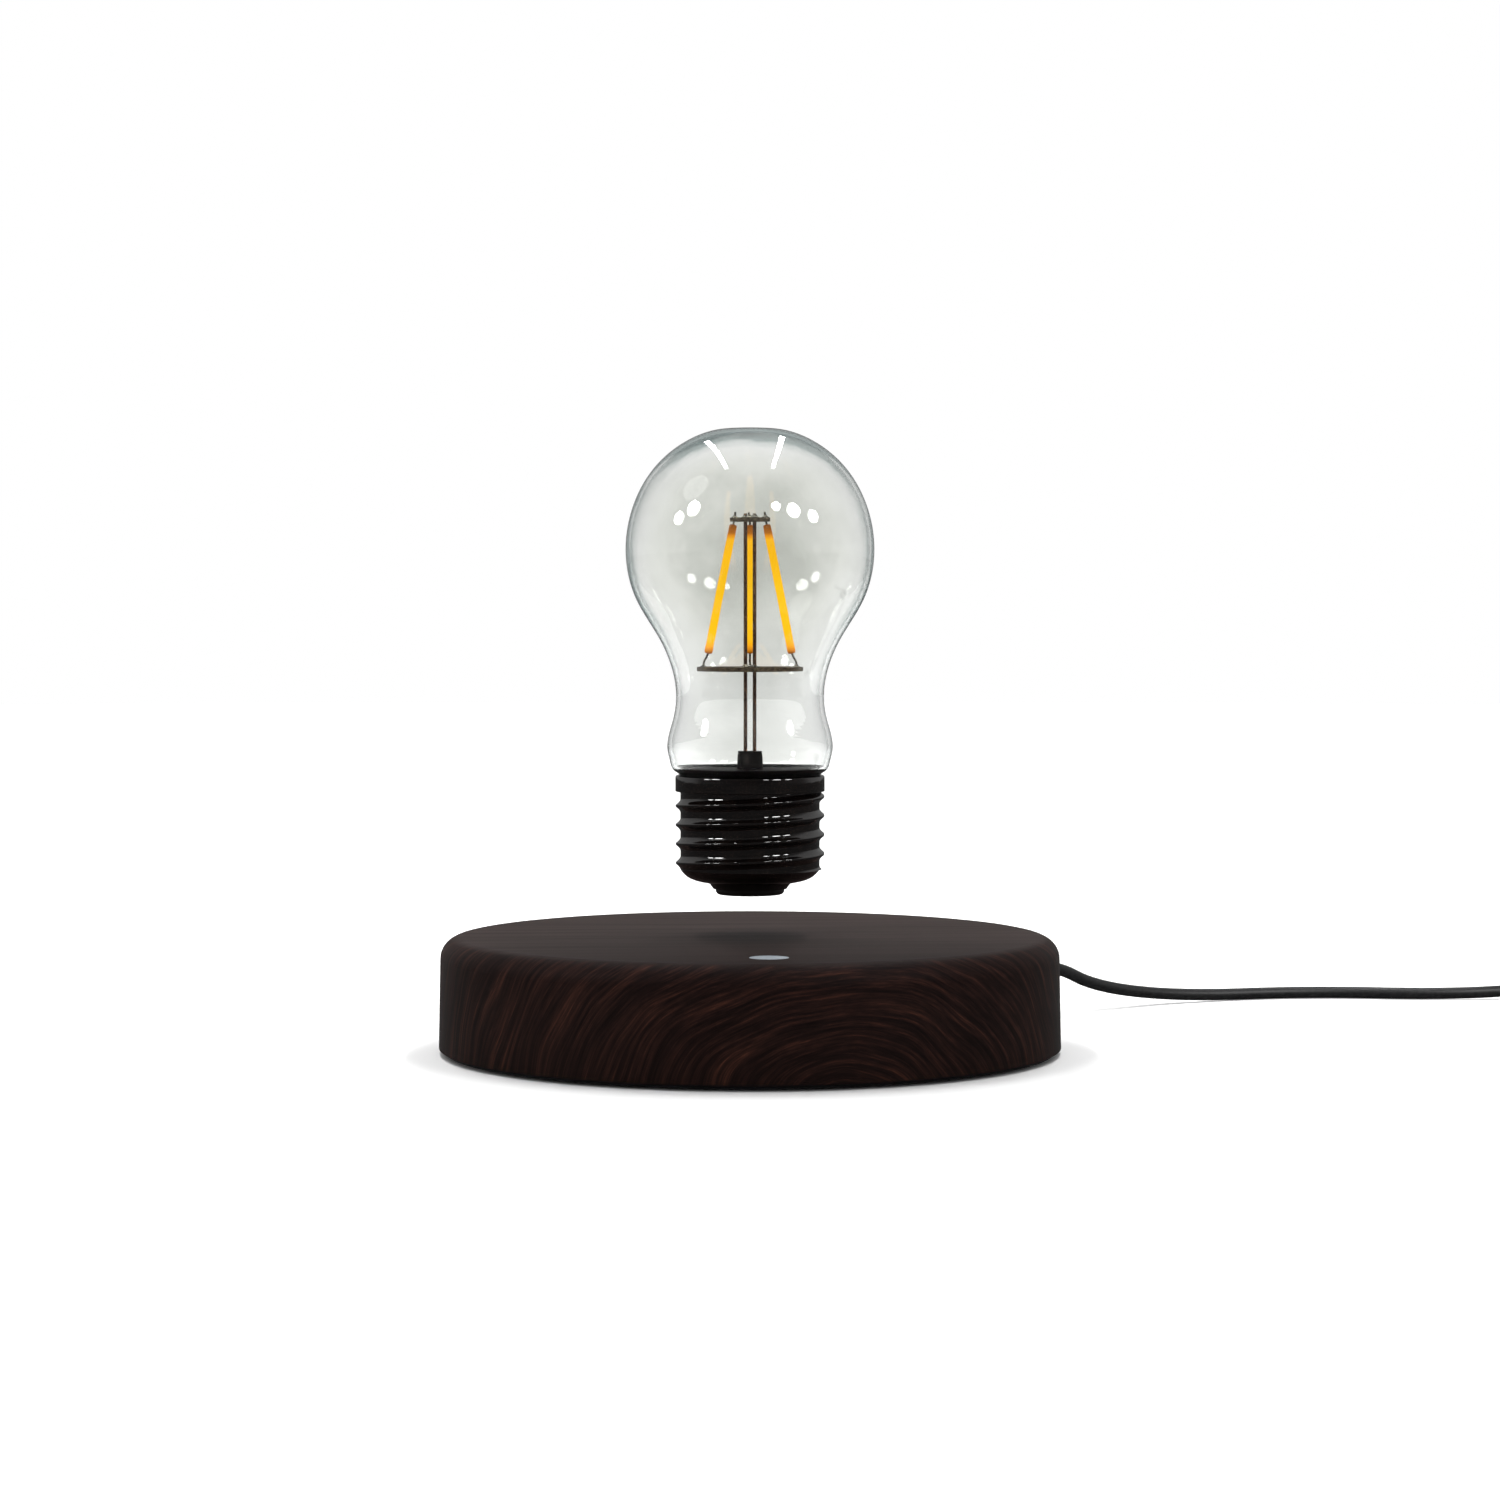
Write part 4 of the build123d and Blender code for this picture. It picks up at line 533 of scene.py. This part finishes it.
glass_wall, crown_level, glass_steps = 1.0, 150.2, 192
profile = [
    (0.0, crown_level), (7.774, 149.898), (14.95, 147.331), (23.173, 140.536), (28.405, 130.721),
    (29.9, 120.0), (27.359, 109.12), (21.672, 99.43), (18.647, 91.95), (17.8, 86.0),
    (18.556, 80.28), (19.9, 73.0), (19.32, 70.291), (18.16, 67.834), (17.0, 66.7)]
outside = flowing(profile, (1, 0), (0, -1), 8)
inside = []
for before, here, after in zip(outside[:1] + outside, outside, outside[1:] + outside[-1:]):
    way = (after - before) / np.linalg.norm(after - before)
    inside.append((max(here[0] + way[1] * glass_wall, 0.0), here[1] - way[0] * glass_wall))
inside[0] = (0.0, crown_level - glass_wall)
rows = [tuple(point) for point in outside] + [(17.0, 64.7)] + arc((16.5, 64.5), 0.5, 0, -180, 8)
rows += [(16.0, 66.7)] + inside[-2::-1]
glass_envelope = revolved("glass_bulb", rows, glass_steps)
glass, tree, shader, place = surface("blown_soda_lime_glass", Roughness=0.0, IOR=1.5,
                                     Transmission_Weight=1.0)
turned = put(tree, "ShaderNodeLayerWeight", {"Blend": 0.5}).outputs["Facing"]
split = put(tree, "ShaderNodeSeparateXYZ", {0: place})
# Painted shade: the glass's colour is darkened towards the crown, for the dim ceiling that it mirrors.
crown_painted_shade = put(tree, "ShaderNodeMapRange", {0: split.outputs["Z"], 1: 138.0, 2: 150.0, 4: 0.2}).outputs[0]
cloud = put(tree, "ShaderNodeTexNoise", {"Vector": place, "Scale": 1 / 11, "Detail": 3.0}).outputs["Fac"]
haze_and_painted_shade = put(tree, "ShaderNodeMath", {0: cloud, 1: 0.35, 2: crown_painted_shade}, operation="MULTIPLY_ADD").outputs[0]
depth = put(tree, "ShaderNodeMath", {0: turned, 1: haze_and_painted_shade}, operation="ADD").outputs[0]
colour = put(tree, "ShaderNodeValToRGB", {0: depth}, ramp=[
    (0.12, "#DADCD7"), (0.45, "#FAFBF8"), (0.8, "#FDFEFE"), (0.94, "#D6DFDD"), (1.0, "#7E908F")])
foot = put(tree, "ShaderNodeMapRange", {0: split.outputs["Z"], 1: 106.0, 2: 88.0, 4: 0.45}).outputs[0]
clear = put(tree, "ShaderNodeMix", {0: foot, 6: colour.outputs["Color"], 7: tone("#FCFDFD")},
            data_type="RGBA")
tree.links.new(clear.outputs[2], shader.inputs["Base Color"])
dress(glass_envelope, glass, "clear_glass", "bulb", "glass_envelope")

bead_low, bead_high, bead_radius, bead_bite = 66.0, 68.9, 15.7, 0.2
bead = [(float(r) + bead_bite, float(z)) for r, z in inside if bead_low < z < bead_high]
rows = [(bead_radius, 67.74)] + bead + [(15.8, bead_low), (bead_radius, bead_low)]
sealant = revolved("mouth_sealant", rows, 96, closed=True)
dress(sealant, speckle("sealant_black", "#0A0909", "#131110", 1.0, 0.03, Roughness=0.5,
                       Specular_IOR_Level=0.2), "cap_black", "bulb")


# Studio: a pale paper floor under one wide soft light, round softboxes at the sides, and two strips
# over the lamp that run towards the back. Floor and sky are white where they are looked at, and dim
# where they are only mirrored, apart from the light that the glass's wall carries to its edges.
floor = bmesh.new()
bmesh.ops.create_circle(floor, cap_ends=True, radius=3.0, segments=96)
studio_floor = piece("studio_floor", floor)
floor_paper, tree, shader, place = surface("studio_paper_white", Roughness=0.95, Specular_IOR_Level=0.0)
shader.inputs["Base Color"].default_value = tone("#E8E8E8")
shader.inputs["Emission Color"].default_value = tone("#FFFFFF")
reach = put(tree, "ShaderNodeVectorMath", {0: place}, operation="LENGTH").outputs["Value"]
lift = put(tree, "ShaderNodeMapRange", {0: reach, 1: 80.0, 2: 220.0, 3: 0.0, 4: 0.4}).outputs[0]
tree.links.new(lift, shader.inputs["Emission Strength"])


def only_mirrored(tree, path, bright):
    """1 where a ray comes off a mirroring surface, less what bright gives inside the glass's wall."""
    in_wall = put(tree, "ShaderNodeMath", {0: path.outputs["Transmission Depth"], 1: 2.0, 2: 1.5},
                  operation="COMPARE").outputs[0]
    edge_light = put(tree, "ShaderNodeMath", {0: in_wall, 1: bright}, operation="MULTIPLY").outputs[0]
    return put(tree, "ShaderNodeMath", {0: path.outputs["Glossy Depth"], 1: edge_light},
               operation="SUBTRACT", use_clamp=True).outputs[0]


path = put(tree, "ShaderNodeLightPath")
split = put(tree, "ShaderNodeSeparateXYZ", {0: place})
rearward = put(tree, "ShaderNodeMapRange", {0: split.outputs["Y"], 1: -100.0, 2: -20.0}).outputs[0]
mirrored = only_mirrored(tree, path, rearward)
dim = put(tree, "ShaderNodeEmission", {"Color": tone("#FFFFFF"), "Strength": 0.06})
paper = put(tree, "ShaderNodeMixShader", {0: mirrored, 1: shader.outputs[0], 2: dim.outputs[0]})
tree.links.new(paper.outputs[0], tree.nodes["Material Output"].inputs["Surface"])
studio_floor.data.materials.append(floor_paper)

world = bpy.data.worlds.new("studio_sky")
bpy.context.scene.world = world
world.use_nodes = True
tree = world.node_tree
sky = put(tree, "ShaderNodeTexCoord").outputs["Generated"]
split = put(tree, "ShaderNodeSeparateXYZ", {0: sky})
reach = put(tree, "ShaderNodeMapRange", {0: split.outputs["Y"], 1: -1.0, 2: 1.0}).outputs[0]
shade = put(tree, "ShaderNodeValToRGB", {0: reach}, ramp=[
    (0.0, 0.04), (0.45, 0.12), (0.65, 0.4), (0.85, 0.35), (1.0, 0.25)])
path = put(tree, "ShaderNodeLightPath")
lit = put(tree, "ShaderNodeMath", {0: path.outputs["Diffuse Depth"], 1: 1.0}, operation="MINIMUM")
rearward = put(tree, "ShaderNodeMapRange", {0: split.outputs["Y"], 1: -0.95, 2: -0.2}).outputs[0]
upward = put(tree, "ShaderNodeMapRange", {0: split.outputs["Z"], 1: -0.1, 2: 0.6}).outputs[0]
open_sky = put(tree, "ShaderNodeMath", {0: rearward, 1: upward}, operation="MAXIMUM").outputs[0]
mirrored = only_mirrored(tree, path, open_sky)
plain = put(tree, "ShaderNodeMix", {0: lit.outputs[0], 6: tone("#FFFFFF"), 7: [0.62, 0.62, 0.62, 1.0]},
            data_type="RGBA")
either = put(tree, "ShaderNodeMix", {0: mirrored, 6: plain.outputs[2], 7: shade.outputs["Color"]},
             data_type="RGBA")
tree.links.new(either.outputs[2], tree.nodes["Background"].inputs["Color"])

light = bpy.data.lights.new("wide_soft_light", "SUN")
light.energy = 1.2
light.angle = math.radians(100)
wide = add_object("wide_soft_light", light)
wide.rotation_euler = (math.radians(-35), 0, 0)
wide.visible_glossy = False
wide.visible_transmission = False

softbox_aim, softbox_reach = Vector((0, 0, 0.12)), 1.2
softboxes = [  # the way to each from the lamp, its width in metres and its radiance
    ((-0.89, -0.264, 0.372), 0.2, 40), ((-0.747, -0.418, 0.515), 0.25, 40),
    ((0.378, -0.715, 0.587), 0.16, 40), ((0.613, -0.598, 0.517), 0.25, 40),
    ((0.825, -0.384, 0.412), 0.2, 40), ((-0.669, -0.193, 0.717), 0.45, 1.2)]
for number, (way, width, radiance) in enumerate(softboxes):
    light = bpy.data.lights.new(f"softbox_{number}", "AREA")
    light.shape = "DISK"
    light.size = width
    light.energy = radiance * math.pi * math.pi * width * width / 4
    lamp = add_object(light.name, light)
    aim = view_turn.to_3x3() @ Vector(way)
    lamp.location = softbox_aim + aim * softbox_reach
    lamp.rotation_euler = aim.to_track_quat("Z", "Y").to_euler()
    lamp.visible_diffuse = False

strip_level = 720
strips = [("strip_left", (-181, -115), (-232, 600)), ("strip_right", (173, -118), (162, 642))]
for name, near, far in strips:
    light = bpy.data.lights.new(name, "AREA")
    light.shape = "RECTANGLE"
    start, end = in_view((*near, strip_level)), in_view((*far, strip_level))
    light.size = 0.03
    light.size_y = (end - start).length
    light.energy = 3.0
    lamp = add_object(name, light)
    lamp.location = (start + end) / 2
    lamp.rotation_euler = (0, 0, math.atan2(end.y - start.y, end.x - start.x) - math.pi / 2)

camera = bpy.data.cameras.new("photo_camera")
camera.lens = 88.27
camera.sensor_width = 36.0
camera_tilt = math.radians(90 - 2.35)
camera_object = add_object("photo_camera", camera)
camera_object.location = view_turn @ Vector((0, -0.886, 0.1092))
camera_object.rotation_euler = (camera_tilt, 0, view_angle)
bpy.context.scene.camera = camera_object
bpy.context.scene.view_settings.view_transform = "Standard"
